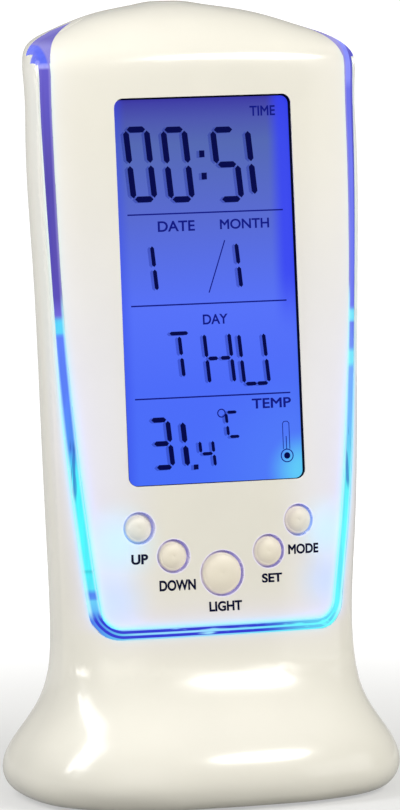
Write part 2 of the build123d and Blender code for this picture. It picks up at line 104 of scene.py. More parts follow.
@dataclass(frozen=True)
class FaceFrame:
    """The leaning front face, as a frame of reference: across, rise and depth behind it.

    Attributes:
        height: height of the display's middle above the table.
        front: how far that middle lies in front of the clock's own middle plane.
        lean: angle by which the face leans back.
    """

    height: float = 96.515 * MM
    front: float = 8.346 * MM
    lean: float = radians(5.04)

    def matrix(self) -> Matrix:
        """Matrix that lays a flat drawing in XY onto the face, its +Z pointing out of the clock."""
        turn = Euler((pi / 2 - self.lean, 0, 0)).to_matrix().to_4x4()
        return Matrix.Translation((0, -self.front, self.height)) @ turn

    def inward(self) -> Vector:
        """Direction straight into the clock."""
        return Vector((0, cos(self.lean), -sin(self.lean)))


FACE = FaceFrame()


def deselect() -> None:
    """Leave nothing selected and no active object."""
    for other in bpy.context.selected_objects:
        other.select_set(False)
    bpy.context.view_layer.objects.active = None


def pick(piece: bpy.types.Object) -> None:
    """Select one object alone and make it active.

    Args:
        piece: the object to work on.
    """
    deselect()
    piece.select_set(True)
    bpy.context.view_layer.objects.active = piece


@contextmanager
def editing(piece: bpy.types.Object, choice: Optional[str] = "SELECT") -> Iterator[None]:
    """Open one mesh in edit mode and close it again.

    Args:
        piece: the mesh.
        choice: SELECT for all of it, DESELECT for nothing, None for what is selected already.
    """
    pick(piece)
    bpy.ops.object.mode_set(mode="EDIT")
    if choice:
        bpy.ops.mesh.select_all(action=choice)
    yield
    bpy.ops.object.mode_set(mode="OBJECT")


def thicken(step: float) -> None:
    """Give the flat mesh that is open in edit mode a thickness along Z, and turn its faces outwards.

    Args:
        step: how far it is extruded.
    """
    bpy.ops.mesh.select_all(action="SELECT")
    bpy.ops.mesh.extrude_region_move(TRANSFORM_OT_translate={"value": (0, 0, step)})
    bpy.ops.mesh.select_all(action="SELECT")
    bpy.ops.mesh.normals_make_consistent(inside=False)


def name_piece(name: str) -> bpy.types.Object:
    """Give the active object and its data one name.

    Args:
        name: the piece's name.

    Returns:
        The active object.
    """
    piece = bpy.context.object
    piece.name = piece.data.name = name
    return piece


def join(pieces: Sequence[bpy.types.Object], name: str) -> bpy.types.Object:
    """Join several meshes into one piece.

    Args:
        pieces: the meshes.
        name: name of the joined piece.

    Returns:
        The joined piece.
    """
    deselect()
    for piece in pieces:
        piece.select_set(True)
    bpy.context.view_layer.objects.active = pieces[0]
    if len(pieces) > 1:
        bpy.ops.object.join()
    return name_piece(name)


def settle(piece: bpy.types.Object, matrix: Optional[Matrix] = None) -> bpy.types.Object:
    """Bake an object's place into its mesh, so that the object sits at the origin.

    Args:
        piece: the object.
        matrix: a further placing to apply after the object's own.

    Returns:
        The same object.
    """
    bpy.context.view_layer.update()
    piece.data.transform((matrix or Matrix.Identity(4)) @ piece.matrix_world)
    piece.matrix_world = Matrix.Identity(4)
    return piece


def lay_on_face(piece: bpy.types.Object, depth: float) -> bpy.types.Object:
    """Bring a drawing in millimetres onto the clock's face, at a depth behind it."""
    return settle(piece, FACE.matrix() @ Matrix.Scale(MM, 4) @ Matrix.Translation((0, 0, -depth)))


def dress(piece: bpy.types.Object, material: bpy.types.Material) -> None:
    """Give a piece one material."""
    piece.data.materials.clear()
    piece.data.materials.append(material)


def fix_to_clock(piece: bpy.types.Object, material: bpy.types.Material) -> None:
    """Dress a new piece and let it ride on the clock's still body.

    Args:
        piece: the piece.
        material: its finish.
    """
    dress(piece, material)
    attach(piece, "root")
    LOG.info("made %s", piece.name)


def smoothed_copy(node: str, name: str) -> bpy.types.Object:
    """Take a CAD solid over as a merged and smooth-shaded piece that stands for it.

    Args:
        node: the CAD node.
        name: name of the new piece.

    Returns:
        The new piece.
    """
    pick(frame["nodes"][node])
    bpy.ops.object.duplicate()
    piece = name_piece(name)
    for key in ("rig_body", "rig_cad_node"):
        if key in piece:
            del piece[key]
    piece.parent = None
    with editing(piece):
        bpy.ops.mesh.remove_doubles(threshold=MERGE)
    bpy.ops.object.shade_smooth_by_angle(angle=SMOOTH_ANGLE)
    return piece


class Level(NamedTuple):
    """One level section of the shell, as shares of its height, half width and half depth.

    The front is None on the flat of the face.
    """

    height: float
    width: float
    front: Optional[float]
    widest: float
    back: float


@dataclass
class Envelope:
    """The shell's outer skin without its openings, as a fine grid whose normals the shells take over.

    Attributes:
        body_height: height of the shell.
        foot_gap: how far its foot lies above the table.
        half_width: half width that the levels' shares refer to.
        half_depth: half depth that they refer to.
        face_foot: height and front of the flat face's foot, as shares.
        face_head: height and front of its head.
        front_power: how square the front quarters of a level are.
        back_power: how square its rear quarters are.
        foot_power: how square the front quarters are down in the foot.
        levels: the level sections, from the foot up.
        rows: how many rows the grid has.
        columns: how many points lie round each row.
        reach: how far off the skin a shell's point may lie and still take over its normal.
        tilt: how far a shell's face may be tilted from the skin and still do so.
    """

    body_height: float = 149.4 * MM
    foot_gap: float = 0.6 * MM
    half_width: float = 37.5 * MM
    half_depth: float = 28.0 * MM
    face_foot: Pair = (0.331, -0.443)
    face_head: Pair = (0.9, -0.175)
    front_power: float = 2.4
    back_power: float = 2.6
    foot_power: float = 2.6
    levels: tuple[Level, ...] = (
        Level(0.0, 0.912, -0.9, 0.0, 0.9), Level(0.009, 0.968, -0.965, 0.0, 0.965),
        Level(0.026, 1.0, -1.0, 0.0, 1.0), Level(0.052, 0.985, -0.975, -0.01, 0.975),
        Level(0.085, 0.905, -0.87, -0.03, 0.885), Level(0.122, 0.822, -0.69, -0.075, 0.79),
        Level(0.163, 0.784, -0.565, -0.12, 0.738), Level(0.21, 0.777, -0.503, -0.128, 0.722),
        Level(0.331, 0.7945, None, -0.153, 0.735), Level(0.5, 0.8155, None, -0.15, 0.771),
        Level(0.665, 0.834, None, -0.122, 0.807), Level(0.83, 0.852, None, -0.055, 0.843),
        Level(0.9, 0.853, None, -0.035, 0.857), Level(0.933, 0.852, -0.152, 0.015, 0.855),
        Level(0.95, 0.804, -0.105, 0.16, 0.848), Level(0.967, 0.65, -0.02, 0.345, 0.815),
        Level(0.98, 0.498, 0.08, 0.42, 0.765), Level(0.99, 0.33, 0.205, 0.5, 0.71),
        Level(0.9965, 0.165, 0.34, 0.55, 0.66), Level(0.9995, 0.056, 0.46, 0.58, 0.63),
    )
    rows: int = 260
    columns: int = 240
    reach: float = 0.35 * MM
    tilt: float = radians(35)

    def front_of(self, level: Level) -> float:
        """Front share of a level, on the flat of the face worked out from the face's two ends."""
        (foot, foot_front), (head, head_front) = self.face_foot, self.face_head
        on_face = foot_front + (head_front - foot_front) * (level.height - foot) / (head - foot)
        return on_face if level.front is None else level.front

    def smooth_rows(self) -> np.ndarray:
        """Rows between the levels on natural cubic splines: height, half width, front, widest, back."""
        known = np.array([(level.height, level.width, self.front_of(level), level.widest, level.back)
                          for level in self.levels])
        known *= (self.body_height, self.half_width, self.half_depth, self.half_depth, self.half_depth)
        known[:, 0] += self.foot_gap
        steps = np.linalg.norm(np.diff(known, axis=0), axis=1)
        along = np.concatenate(([0.0], np.cumsum(steps)))
        count = len(along)
        system = np.eye(count)
        right = np.zeros_like(known)
        for i in range(1, count - 1):
            before, after = steps[i - 1], steps[i]
            system[i, i - 1:i + 2] = before, 2 * (before + after), after
            right[i] = 6 * ((known[i + 1] - known[i]) / after - (known[i] - known[i - 1]) / before)
        bend = np.linalg.solve(system, right)
        rows = []
        for place in np.linspace(0.0, along[-1], self.rows):
            i = min(int(np.searchsorted(along, place, side="right")) - 1, count - 2)
            low, high, step = place - along[i], along[i + 1] - place, steps[i]
            rows.append((bend[i] * high ** 3 + bend[i + 1] * low ** 3) / (6 * step)
                        + (known[i] / step - bend[i] * step / 6) * high
                        + (known[i + 1] / step - bend[i + 1] * step / 6) * low)
        return np.array(rows)

    def ring_of(self, row: np.ndarray) -> list[Triple]:
        """Points round the skin on one row, each quarter on its own rounded-square curve."""
        height, width, front, widest, back = row
        foot_end = self.foot_gap + self.face_foot[0] / 2 * self.body_height
        power = self.foot_power if height < foot_end else self.front_power
        points = []
        for column in range(self.columns):
            turn = 2 * pi * column / self.columns
            ahead = cos(turn) > 0
            run, reach = (widest - front, 2 / power) if ahead else (back - widest, 2 / self.back_power)
            side = abs(sin(turn)) ** reach * (1 if sin(turn) >= 0 else -1)
            forth = abs(cos(turn)) ** reach * (-1 if ahead else 1)
            points.append((width * side, widest + run * forth, height))
        return points

    def skin(self) -> bpy.types.Object:
        """Build the skin as one smooth-shaded grid, closed round the clock."""
        points = [point for row in self.smooth_rows() for point in self.ring_of(row)]
        faces = []
        for row in range(self.rows - 1):
            low, high = row * self.columns, (row + 1) * self.columns
            for column in range(self.columns):
                after = (column + 1) % self.columns
                faces.append((low + column, low + after, high + after, high + column))
        deselect()
        bpy.ops.mesh.primitive_plane_add()
        skin = name_piece("envelope")
        skin.data.clear_geometry()
        skin.data.from_pydata(points, [], faces)
        bpy.ops.object.shade_smooth()
        return skin

    def polish(self, pieces: Iterable[bpy.types.Object]) -> None:
        """Give the outer faces of the shells the skin's own normals, so that reflections run evenly.

        Args:
            pieces: the shells.
        """
        skin = self.skin()
        corners = [vertex.co.copy() for vertex in skin.data.vertices]
        normals = [vertex.normal.copy() for vertex in skin.data.vertices]
        faces = [tuple(face.vertices) for face in skin.data.polygons]
        tree = BVHTree.FromPolygons(corners, faces)
        nearness = cos(self.tilt)
        for piece in pieces:
            mesh = piece.data
            found = []
            for vertex in mesh.vertices:
                spot, _, index, gap = tree.find_nearest(vertex.co)
                if gap > self.reach:
                    found.append(None)
                    continue
                around = faces[index]
                weights = poly_3d_calc([corners[i] for i in around], spot)
                mean = sum((normals[i] * weight for i, weight in zip(around, weights)), Vector())
                found.append(mean.normalized())
            smooth = [corner.vector.copy() for corner in mesh.corner_normals]
            for face in mesh.polygons:
                near = [found[i] for i in face.vertices]
                if all(near) and all(face.normal.dot(normal) > nearness for normal in near):
                    for loop, normal in zip(face.loop_indices, near):
                        smooth[loop] = normal
            mesh.normals_split_custom_set(smooth)
            LOG.info("evened the skin of %s", piece.name)
        bpy.data.objects.remove(skin)


def srgb(*screen: int) -> Triple:
    """Linear colour from its 8-bit screen values."""
    parts = [value / 255 for value in screen]
    return tuple(part / 12.92 if part <= 0.04045 else ((part + 0.055) / 1.055) ** 2.4 for part in parts)


def darkened(tone: Triple, share: float) -> Triple:
    """A share of a colour."""
    return tuple(share * part for part in tone)


class Signal:
    """A node's output that takes part in plain arithmetic, each step of which adds one node."""

    def __init__(self, nodes: "Nodes", socket: bpy.types.NodeSocket) -> None:
        """Wrap an output socket of the helper's tree."""
        self.nodes, self.socket = nodes, socket

    def __add__(self, other: "Reading") -> "Signal":
        """Sum with another signal or number."""
        return self.nodes.math("ADD", self, other)

    def __sub__(self, other: "Reading") -> "Signal":
        """Difference from another signal or number."""
        return self.nodes.math("SUBTRACT", self, other)

    def __rsub__(self, other: float) -> "Signal":
        """A number less the signal."""
        return self.nodes.math("SUBTRACT", other, self)

    def __mul__(self, other: "Reading") -> "Signal":
        """Product with another signal or number."""
        return self.nodes.math("MULTIPLY", self, other)

    def __pow__(self, power: float) -> "Signal":
        """The signal raised to a power."""
        return self.nodes.math("POWER", self, power)

    def __abs__(self) -> "Signal":
        """The signal without its sign."""
        return self.nodes.math("ABSOLUTE", self)

    def at_least(self, other: "Reading") -> "Signal":
        """The larger of the signal and another."""
        return self.nodes.math("MAXIMUM", self, other)

    def at_most(self, other: "Reading") -> "Signal":
        """The smaller of the signal and another."""
        return self.nodes.math("MINIMUM", self, other)

    def span(self, low: float, high: float, to_low: float = 0.0, to_high: float = 1.0,
             smooth: bool = True) -> "Signal":
        """Map one range of the signal onto another, clamped.

        Args:
            low: start of the range read.
            high: end of the range read, which may be the smaller of the two.
            to_low: result at the start.
            to_high: result at the end.
            smooth: ease in and out.

        Returns:
            The mapped signal.
        """
        inputs = dict(enumerate((self, low, high, to_low, to_high)))
        kind = "SMOOTHSTEP" if smooth else "LINEAR"
        return self.nodes.get(self.nodes.add("MapRange", inputs, interpolation_type=kind))

    def window(self, low: float, high: float, fade: float) -> "Signal":
        """Mask that is one between two values and fades out beyond them."""
        return self.span(low - fade, low) * self.span(high + fade, high)


Reading = Union[Signal, float]
Paint = Union[Signal, Triple]


class Place(NamedTuple):
    """Where a point of a surface lies on the face: outside the cover's edge, across, up and behind."""

    edge: Signal
    across: Signal
    rise: Signal
    depth: Signal


class Nodes:
    """A thin helper that adds shader nodes to one tree, with their inputs by name or number."""

    def __init__(self, tree: bpy.types.NodeTree) -> None:
        """Start on a tree and empty it."""
        self.tree = tree
        self.tree.nodes.clear()

    @classmethod
    def group(cls, name: str, inputs: dict[str, tuple[str, object]], outputs: dict[str, str]) -> "Nodes":
        """Start a node group.

        Args:
            name: the group's name.
            inputs: socket type and default of each input, by name.
            outputs: socket type of each output, by name.

        Returns:
            A helper on the group's tree.
        """
        nodes = cls(bpy.data.node_groups.new(name, "ShaderNodeTree"))
        sockets = nodes.tree.interface
        for label, (kind, value) in inputs.items():
            socket = sockets.new_socket(label, in_out="INPUT", socket_type=f"NodeSocket{kind}")
            socket.default_value = value
        for label, kind in outputs.items():
            sockets.new_socket(label, in_out="OUTPUT", socket_type=f"NodeSocket{kind}")
        return nodes

    def close(self, *results: Signal) -> bpy.types.NodeTree:
        """Put out a group's results, in the order of its outputs, and return the group."""
        self.add("NodeGroupOutput", dict(enumerate(results)))
        return self.tree

    def feed(self, target: bpy.types.NodeSocket, value: object) -> None:
        """Link a socket, or set its constant.

        Args:
            target: the input socket.
            value: a signal or a constant.
        """
        if isinstance(value, Signal):
            self.tree.links.new(value.socket, target)
        elif target.type == "RGBA":
            target.default_value = (*value, 1.0)
        else:
            target.default_value = value

    def add(self, kind: str, inputs: Optional[dict[Union[str, int], object]] = None,
            **values: object) -> bpy.types.Node:
        """Add one node, set its properties and feed its inputs.

        Args:
            kind: node type, for a shader node without its prefix.
            inputs: signals and constants of the inputs.
            **values: properties of the node.

        Returns:
            The node.
        """
        node = self.tree.nodes.new(kind if kind.startswith("Node") else f"ShaderNode{kind}")
        for key, value in values.items():
            setattr(node, key, value)
        for key, value in (inputs or {}).items():
            self.feed(node.inputs[key], value)
        return node

    def get(self, node: bpy.types.Node, output: Union[str, int] = 0) -> Signal:
        """One output of a node."""
        return Signal(self, node.outputs[output])

    def math(self, operation: str, *values: Reading) -> Signal:
        """Result of one Math node."""
        return self.get(self.add("Math", dict(enumerate(values)), operation=operation))

    def here(self) -> Signal:
        """Object coordinates."""
        return self.get(self.add("TexCoord"), "Object")

    def noise(self, scale: float, detail: float = 2.0, squeeze: Optional[Triple] = None) -> Signal:
        """Soft random pattern.

        Args:
            scale: how many grains lie along a metre.
            detail: how many finer layers it has.
            squeeze: scale of the pattern along each axis, where it is stretched.

        Returns:
            The pattern's value.
        """
        place = self.here()
        if squeeze:
            place = self.get(self.add("Mapping", {"Vector": place, "Scale": squeeze}))
        return self.get(self.add("TexNoise", {"Vector": place, "Scale": scale, "Detail": detail}))

    def blend(self, share: Reading, first: Paint, second: Paint, mode: str = "MIX") -> Signal:
        """Mix two colours, the share being that of the second."""
        inputs = {0: share, 6: first, 7: second}
        return self.get(self.add("Mix", inputs, data_type="RGBA", blend_type=mode), 2)

    def coats(self, colour: Signal, *coats: tuple[Signal, Union[Signal, Screen]]) -> Signal:
        """Lay tones over a colour, one after another.

        Args:
            colour: the colour under them.
            *coats: how much of each tone, and the tone.

        Returns:
            The colour on top.
        """
        for share, tone in coats:
            colour = self.blend(share, colour, tone if isinstance(tone, Signal) else srgb(*tone))
        return colour

    def ramp(self, value: Signal, low: float, high: float, stops: Sequence[Stop]) -> Signal:
        """Colour that runs straight from stop to stop.

        Args:
            value: the value that it follows.
            low: the value where the ramp starts.
            high: the value where it ends.
            stops: value and screen colour of each stop.

        Returns:
            The colour.
        """
        node = self.add("ValToRGB", {0: value.span(low, high, smooth=False)})
        elements = node.color_ramp.elements
        node.color_ramp.interpolation = "LINEAR"
        while len(elements) < len(stops):
            elements.new(1.0)
        for element, (at, tone) in zip(elements, stops):
            element.position = (at - low) / (high - low)
            element.color = (*srgb(*tone), 1.0)
        return self.get(node)

    def tint(self, amount: Signal, tone: Paint) -> Signal:
        """Colour times a changing amount."""
        return self.get(self.add("VectorMath", {0: tone, "Scale": amount}, operation="SCALE"))

    def total(self, parts: Sequence[Signal]) -> Signal:
        """Sum of several colours."""
        whole = parts[0]
        for part in parts[1:]:
            whole = self.get(self.add("VectorMath", {0: whole, 1: part}, operation="ADD"))
        return whole

    def face(self, places: bpy.types.NodeTree) -> Place:
        """Where each point lies on the face, from the group that works it out."""
        node = self.add("Group", node_tree=places)
        return Place(*(self.get(node, name.capitalize()) for name in Place._fields))

    def reach_from(self, place: Place, middle: Pair) -> Signal:
        """Distance on the face from one point."""
        at = self.get(self.add("CombineXYZ", {0: place.across, 1: place.rise}))
        node = self.add("VectorMath", {0: at, 1: (*middle, 0.0)}, operation="DISTANCE")
        return self.get(node, "Value")


@dataclass(frozen=True)
class CoverOutline:
    """The front cover's edge on the face, which the clear ring follows.

    Attributes:
        rises: rises at which the half width is given, from the foot up.
        half_widths: the half widths there.
        fall: how far the straight foot of the outline lies below the display's middle.
        corner: radius of the two lower corners.
    """

    rises: tuple[float, ...] = (-63.2, -41.1, -20.0, 4.0, 32.0, 60.0)
    half_widths: tuple[float, ...] = (22.88, 25.8, 27.64, 28.91, 29.4, 29.4)
    fall: float = 63.2
    corner: float = 3.5

    def half_width(self, nodes: Nodes, rise: Signal) -> Signal:
        """Half width of the cover at a rise.

        Args:
            nodes: helper on the tree.
            rise: the rise.

        Returns:
            The half width.
        """
        low, high, widest = self.rises[0], self.rises[-1], max(self.half_widths)
        curve = nodes.add("FloatCurve", {"Value": rise.span(low, high, smooth=False)})
        points = curve.mapping.curves[0].points
        for _ in range(len(self.rises) - 2):
            points.new(0.5, 0.5)
        for point, at, width in zip(points, self.rises, self.half_widths):
            point.location = ((at - low) / (high - low), width / widest)
        curve.mapping.update()
        return nodes.get(curve) * widest


OUTLINE = CoverOutline()


def face_field_group() -> bpy.types.NodeTree:
    """Group that turns Object coordinates into places on the face, in millimetres.

    Returns:
        A group with an output for each value of Place.
    """
    nodes = Nodes.group("face_field", {}, {name.capitalize(): "Float" for name in Place._fields})
    split = nodes.add("SeparateXYZ", {0: nodes.here()})
    across, forth, upward = (nodes.get(split, axis) * (1 / MM) for axis in range(3))
    forth, upward = forth + FACE.front / MM, upward - FACE.height / MM
    rise = forth * sin(FACE.lean) + upward * cos(FACE.lean)
    depth = forth * cos(FACE.lean) - upward * sin(FACE.lean)
    side = abs(across) - OUTLINE.half_width(nodes, rise) + OUTLINE.corner
    below = (OUTLINE.corner - OUTLINE.fall) - rise
    reach = nodes.math("SQRT", side.at_least(0.0) ** 2.0 + below.at_least(0.0) ** 2.0)
    edge = reach + side.at_least(below).at_most(0.0) - OUTLINE.corner
    return nodes.close(edge, across, rise, depth)


MOULDED_SHADE, MOULDED_ROUGHNESS, MOULDED_RELIEF = (0.97, 1.0), (0.9, 1.12), (0.7, 0.3)


def moulded_group() -> bpy.types.NodeTree:
    """Group with the faint unevenness of an injection moulding.

    Returns:
        A group that puts out a tone, a roughness and a height.
    """
    nodes = Nodes.group("moulded", {"Tone": ("Color", (0.8, 0.8, 0.8, 1.0)), "Roughness": ("Float", 0.2)},
                        {"Tone": "Color", "Roughness": "Float", "Height": "Float"})
    source = nodes.add("NodeGroupInput")
    broad, fine = nodes.noise(BROAD_GRAIN, 3.0), nodes.noise(FINE_GRAIN)
    shade = broad.span(*NOISE_RANGE, *MOULDED_SHADE)
    tone = nodes.blend(1.0, nodes.get(source, "Tone"), shade, "MULTIPLY")
    rough = nodes.get(source, "Roughness") * fine.span(*NOISE_RANGE, *MOULDED_ROUGHNESS)
    return nodes.close(tone, rough, broad * MOULDED_RELIEF[0] + fine * MOULDED_RELIEF[1])


class Halo(NamedTuple):
    """A soft round patch of the ring's light in the white plastic: middle, reach and colour there."""

    middle: Pair
    reach: float
    tone: Triple


@dataclass(frozen=True)
class RingGlow:
    """The blue light that the ring throws through the white plastic beside it.

    Attributes:
        outer_start: distance outside the cover's edge at which the housing's share begins.
        outer_fall: how much faster it falls there.
        falls: how fast the hue, the cyan light and the violet light fall off, per millimetre.
        full_below: rises between which the light grows to its full strength.
        foot: rises between which it weakens under the foot of the ring.
        margin: places across between which the painted blue glow along the cover's margins begins, and rises
            where it does.
        deep: depths at which the light has ended and at which it is full.
        shares: how much of the hue, the cyan and the violet light grows downwards, and how much stays.
        cyan: colour of the cyan light.
        violet: colour of the violet light.
        margin_tone: colour of that painted glow along the margins.
        halos: the brighter patches near the lamps, where the painted light also tints the plastic's own
            colour to the ring's hue.
        halo_glow_tint: how far the plastic takes on the ring's hue in them.
        rims: middle and radius of the lit gap round each button.
        rim_width: distances from that radius between which the gap's light begins and is full.
        rim_tone: colour of those gaps.
    """

    outer_start: float = 1.9
    outer_fall: float = 1.5
    falls: Triple = (2.4, 1.4, 0.5)
    full_below: Pair = (2.0, -40.0)
    foot: Pair = (-62.5, -64.5)
    margin: tuple[Pair, Pair] = ((10.0, 22.0), (36.0, -26.0))
    deep: Pair = (11.0, 3.5)
    shares: tuple[Pair, Pair, Pair] = ((0.8, 0.12), (0.8, 0.2), (0.85, 0.15))
    cyan: Triple = (0.02, 0.26, 0.24)
    violet: Triple = (0.02, 0.0, 0.3)
    margin_tone: Triple = (0.0, 0.015, 0.13)
    halos: tuple[Halo, ...] = (
        Halo((-20.0, -47.0), 9.5, (0.02, 0.17, 0.3)), Halo((22.0, -46.5), 8.5, (0.02, 0.15, 0.24)),
        Halo((-21.5, -58.0), 9.0, (0.0, 0.03, 0.2)), Halo((21.5, -56.0), 8.0, (0.0, 0.02, 0.16)),
    )
    halo_glow_tint: float = 0.18
    rims: tuple[tuple[Pair, float], ...] = (
        ((-16.0, -44.25), 2.95), ((-9.55, -49.8), 3.1), ((0.0, -53.5), 4.25), ((9.55, -49.8), 3.1),
        ((16.0, -44.25), 2.95),
    )
    rim_width: Pair = (0.45, 0.1)
    rim_tone: Triple = (0.08, 0.07, 0.26)

    def group(self, places: bpy.types.NodeTree) -> bpy.types.NodeTree:
        """Build the glow's node group.

        Args:
            places: the group that gives places on the face.

        Returns:
            A group that puts out the painted light, and how far that light tints the plastic's own colour to
            the ring's hue.
        """
        nodes = Nodes.group("ring_glow", {"Strength": ("Float", 1.0)}, {"Light": "Color", "GlowTint": "Float"})
        strength = nodes.get(nodes.add("NodeGroupInput"))
        place = nodes.face(places)
        outside = (place.edge - self.outer_start) * self.outer_fall
        beyond = (place.edge * -1.0).at_least(outside).at_least(0.0)
        low = place.rise.span(*self.full_below)
        foot = place.rise.span(*self.foot, 1.0, 0.35)
        # The first of these is how far the painted light tints the plastic's colour to the ring's hue; the
        # others are the cyan and the violet light.
        glow_tint, near, wide = (nodes.math("EXPONENT", beyond * -fall) * foot * (low * grown + even)
                             for fall, (grown, even) in zip(self.falls, self.shares))
        on_cover = place.edge.span(1.0, -1.0)
        margin = abs(place.across).span(*self.margin[0]) * place.rise.span(*self.margin[1])
        parts = [nodes.tint(near, self.cyan), nodes.tint(wide, self.violet),
                 nodes.tint(margin * on_cover, self.margin_tone)]
        for halo in self.halos:
            amount = nodes.reach_from(place, halo.middle).span(halo.reach, 0.0) * on_cover
            glow_tint = glow_tint.at_least(amount * self.halo_glow_tint)
            parts.append(nodes.tint(amount, halo.tone))
        for middle, radius in self.rims:
            off = abs(nodes.reach_from(place, middle) - radius)
            parts.append(nodes.tint(off.span(*self.rim_width), self.rim_tone))
        shallow = place.depth.span(*self.deep)
        return nodes.close(nodes.tint(strength * shallow, nodes.total(parts)), glow_tint * shallow)


@dataclass(frozen=True)
class CornerPatch:
    """Where the ring's light fills the shell's upper corners.

    Attributes:
        sill: rise at which the wider patch beside the ring begins.
        reach: distance outside the cover's edge to which that patch reaches.
        spread: how much further it reaches per millimetre of rise.
        bound: half width of the white between the corners, at the face's depth.
        taper: how much narrower that white gets with the depth, and with its square.
        over_top: rise above which the ring is lit in the corners only.
        rear: depths at which the light has ended and at which it is full.
        flank: the same on the housing.
        soft: half the width of the patch's soft edge.
        starts: height over which the light begins on the cover, and half of that on housing and ring.
    """

    sill: float = 43.2
    reach: float = 2.35
    spread: float = 0.55
    bound: float = 30.1
    taper: Pair = (0.292, 0.0201)
    over_top: float = 46.3
    rear: Pair = (17.0, 15.5)
    flank: Pair = (6.5, 5.5)
    soft: float = 0.08
    starts: Triple = (0.4, 0.05, 0.3)

    def in_corner(self, place: Place) -> Signal:
        """Mask of the two upper corners, outside the rounded edge of the white."""
        out = abs(place.across) + place.depth * self.taper[0] + place.depth ** 2.0 * self.taper[1]
        return out.span(self.bound - self.soft, self.bound + self.soft) * place.depth.span(*self.rear)

    def beside_ring(self, place: Place) -> Signal:
        """Mask of the places near enough to the cover's edge, which widens upwards."""
        out = place.edge - (place.rise - self.sill).at_least(0.0) * self.spread
        return out.span(self.reach + self.soft, self.reach - self.soft)

    def on_cover(self, place: Place) -> Signal:
        """Mask of the lit corners on the front cover."""
        return self.in_corner(place) * place.rise.span(self.sill, self.sill + self.starts[0])

    def on_housing(self, place: Place) -> Signal:
        """Mask of the lit patch on the housing, just outside the ring."""
        above = place.rise.span(self.sill - self.starts[1], self.sill + self.starts[1])
        return self.beside_ring(place) * above * place.depth.span(*self.flank)

    def on_ring(self, place: Place) -> Signal:
        """Mask of the ring's part that is lit, which is all but its run over the top."""
        below = place.rise.span(self.over_top + self.starts[2], self.over_top - self.starts[2])
        return below.at_least(self.in_corner(place)) * self.beside_ring(place)


CORNERS = CornerPatch()
IVORY_TONE = srgb(241, 238, 226)
CLEAR = (0.015, 0.015, 0.04)
RING_HUE = (0.16, 0.8, 1.0)


class Groups:
    """The node groups that several finishes share."""

    def __init__(self) -> None:
        """Build each group once."""
        self.places = face_field_group()
        self.moulded = moulded_group()
        self.glow = RingGlow().group(self.places)


@dataclass(frozen=True)
class Surface:
    """A finish that is one Principled shader.

    Attributes:
        name: the material's name.
    """

    name: str

    def material(self, groups: Groups) -> bpy.types.Material:
        """Build the finish.

        Args:
            groups: the shared node groups.

        Returns:
            The material.
        """
        made = bpy.data.materials.new(self.name)
        made.use_nodes = True
        nodes = Nodes(made.node_tree)
        shader = nodes.add("BsdfPrincipled", self.inputs(nodes, groups))
        nodes.add("OutputMaterial", {0: nodes.get(shader)})
        return made

    def inputs(self, nodes: Nodes, groups: Groups) -> dict[str, object]:
        """Signals and constants of the shader's inputs, which each kind of finish gives."""
        raise NotImplementedError


@dataclass(frozen=True)
class MouldedPlastic(Surface):
    """Glossy or satin plastic with a faint moulding texture.

    Attributes:
        tone: base colour.
        roughness: roughness of the surface.
        coat: weight of the clear gloss on top.
        bump: height of the moulding texture.
        glow: how much of the ring's light shows in it.
        lit: mask of the part that the ring's light fills, if there is one.
    """

    tone: Triple
    roughness: float = 0.22
    coat: float = 0.0
    bump: float = 0.00002
    glow: float = 0.0
    lit: Optional[Callable[[Place], Signal]] = None

    def inputs(self, nodes: Nodes, groups: Groups) -> dict[str, object]:
        """Inputs of the shader.

        Args:
            nodes: helper on the material's tree.
            groups: the shared node groups.

        Returns:
            Signals and constants by the input's name.
        """
        moulded = nodes.add("Group", node_tree=groups.moulded)
        nodes.feed(moulded.inputs["Tone"], self.tone)
        nodes.feed(moulded.inputs["Roughness"], self.roughness)
        height = nodes.get(moulded, "Height")
        bump = nodes.add("Bump", {"Distance": self.bump, "Strength": 0.5, "Height": height})
        tone = nodes.get(moulded, "Tone")
        found = {"Roughness": nodes.get(moulded, "Roughness"), "Normal": nodes.get(bump),
                 "Coat Weight": self.coat, "Coat Roughness": 0.1, "IOR": 1.5}
        if self.glow:
            light = nodes.add("Group", node_tree=groups.glow)
            nodes.feed(light.inputs["Strength"], self.glow)
            shine = nodes.get(light, "Light")
            # Where the ring's light is painted, it also tints the plastic's own colour to the ring's hue.
            tone = nodes.blend(nodes.get(light, "GlowTint") * self.glow, tone, RING_HUE)
            if self.lit:
                share = self.lit(nodes.face(groups.places))
                shine = nodes.blend(share, shine, RingLight().colour(nodes, groups))
                tone = nodes.blend(share, tone, CLEAR)
            found.update({"Emission Color": shine, "Emission Strength": 1.0})
        return {"Base Color": tone, **found}


@dataclass(frozen=True)
class BareMetal(Surface):
    """Plated or brushed metal with fine random scratches.

    Attributes:
        tone: base colour.
        roughness: mean roughness.
        grain: how many grains lie along a metre.
    """

    tone: Triple
    roughness: float = 0.3
    grain: float = 2500.0

    def inputs(self, nodes: Nodes, groups: Groups) -> dict[str, object]:
        """Inputs of the shader: base colour and roughness vary with the grain."""
        grain = nodes.noise(self.grain)
        return {"Roughness": grain.span(*NOISE_RANGE, self.roughness * 0.7, self.roughness * 1.3),
                "Base Color": nodes.blend(grain, self.tone, darkened(self.tone, 0.8)), "Metallic": 1.0}


@dataclass(frozen=True)
class InkAndShade(Surface):
    """Printed or liquid-crystal dark ink, and the dark painted shade of the figures' shadow and of the
    display's opening.

    Attributes:
        tone: base colour.
        light: how much light of the same hue still comes through.
        cover: how opaque it is.
    """

    tone: Triple
    light: float = 0.0
    cover: float = 1.0

    def inputs(self, nodes: Nodes, groups: Groups) -> dict[str, object]:
        """Inputs of the shader: an almost even tone, some of which shines."""
        tone = nodes.blend(nodes.noise(INK_GRAIN), self.tone, darkened(self.tone, 0.85))
        return {"Base Color": tone, "Emission Color": tone, "Emission Strength": self.light,
                "Roughness": 0.5, "Specular IOR Level": 0.03, "Alpha": self.cover}


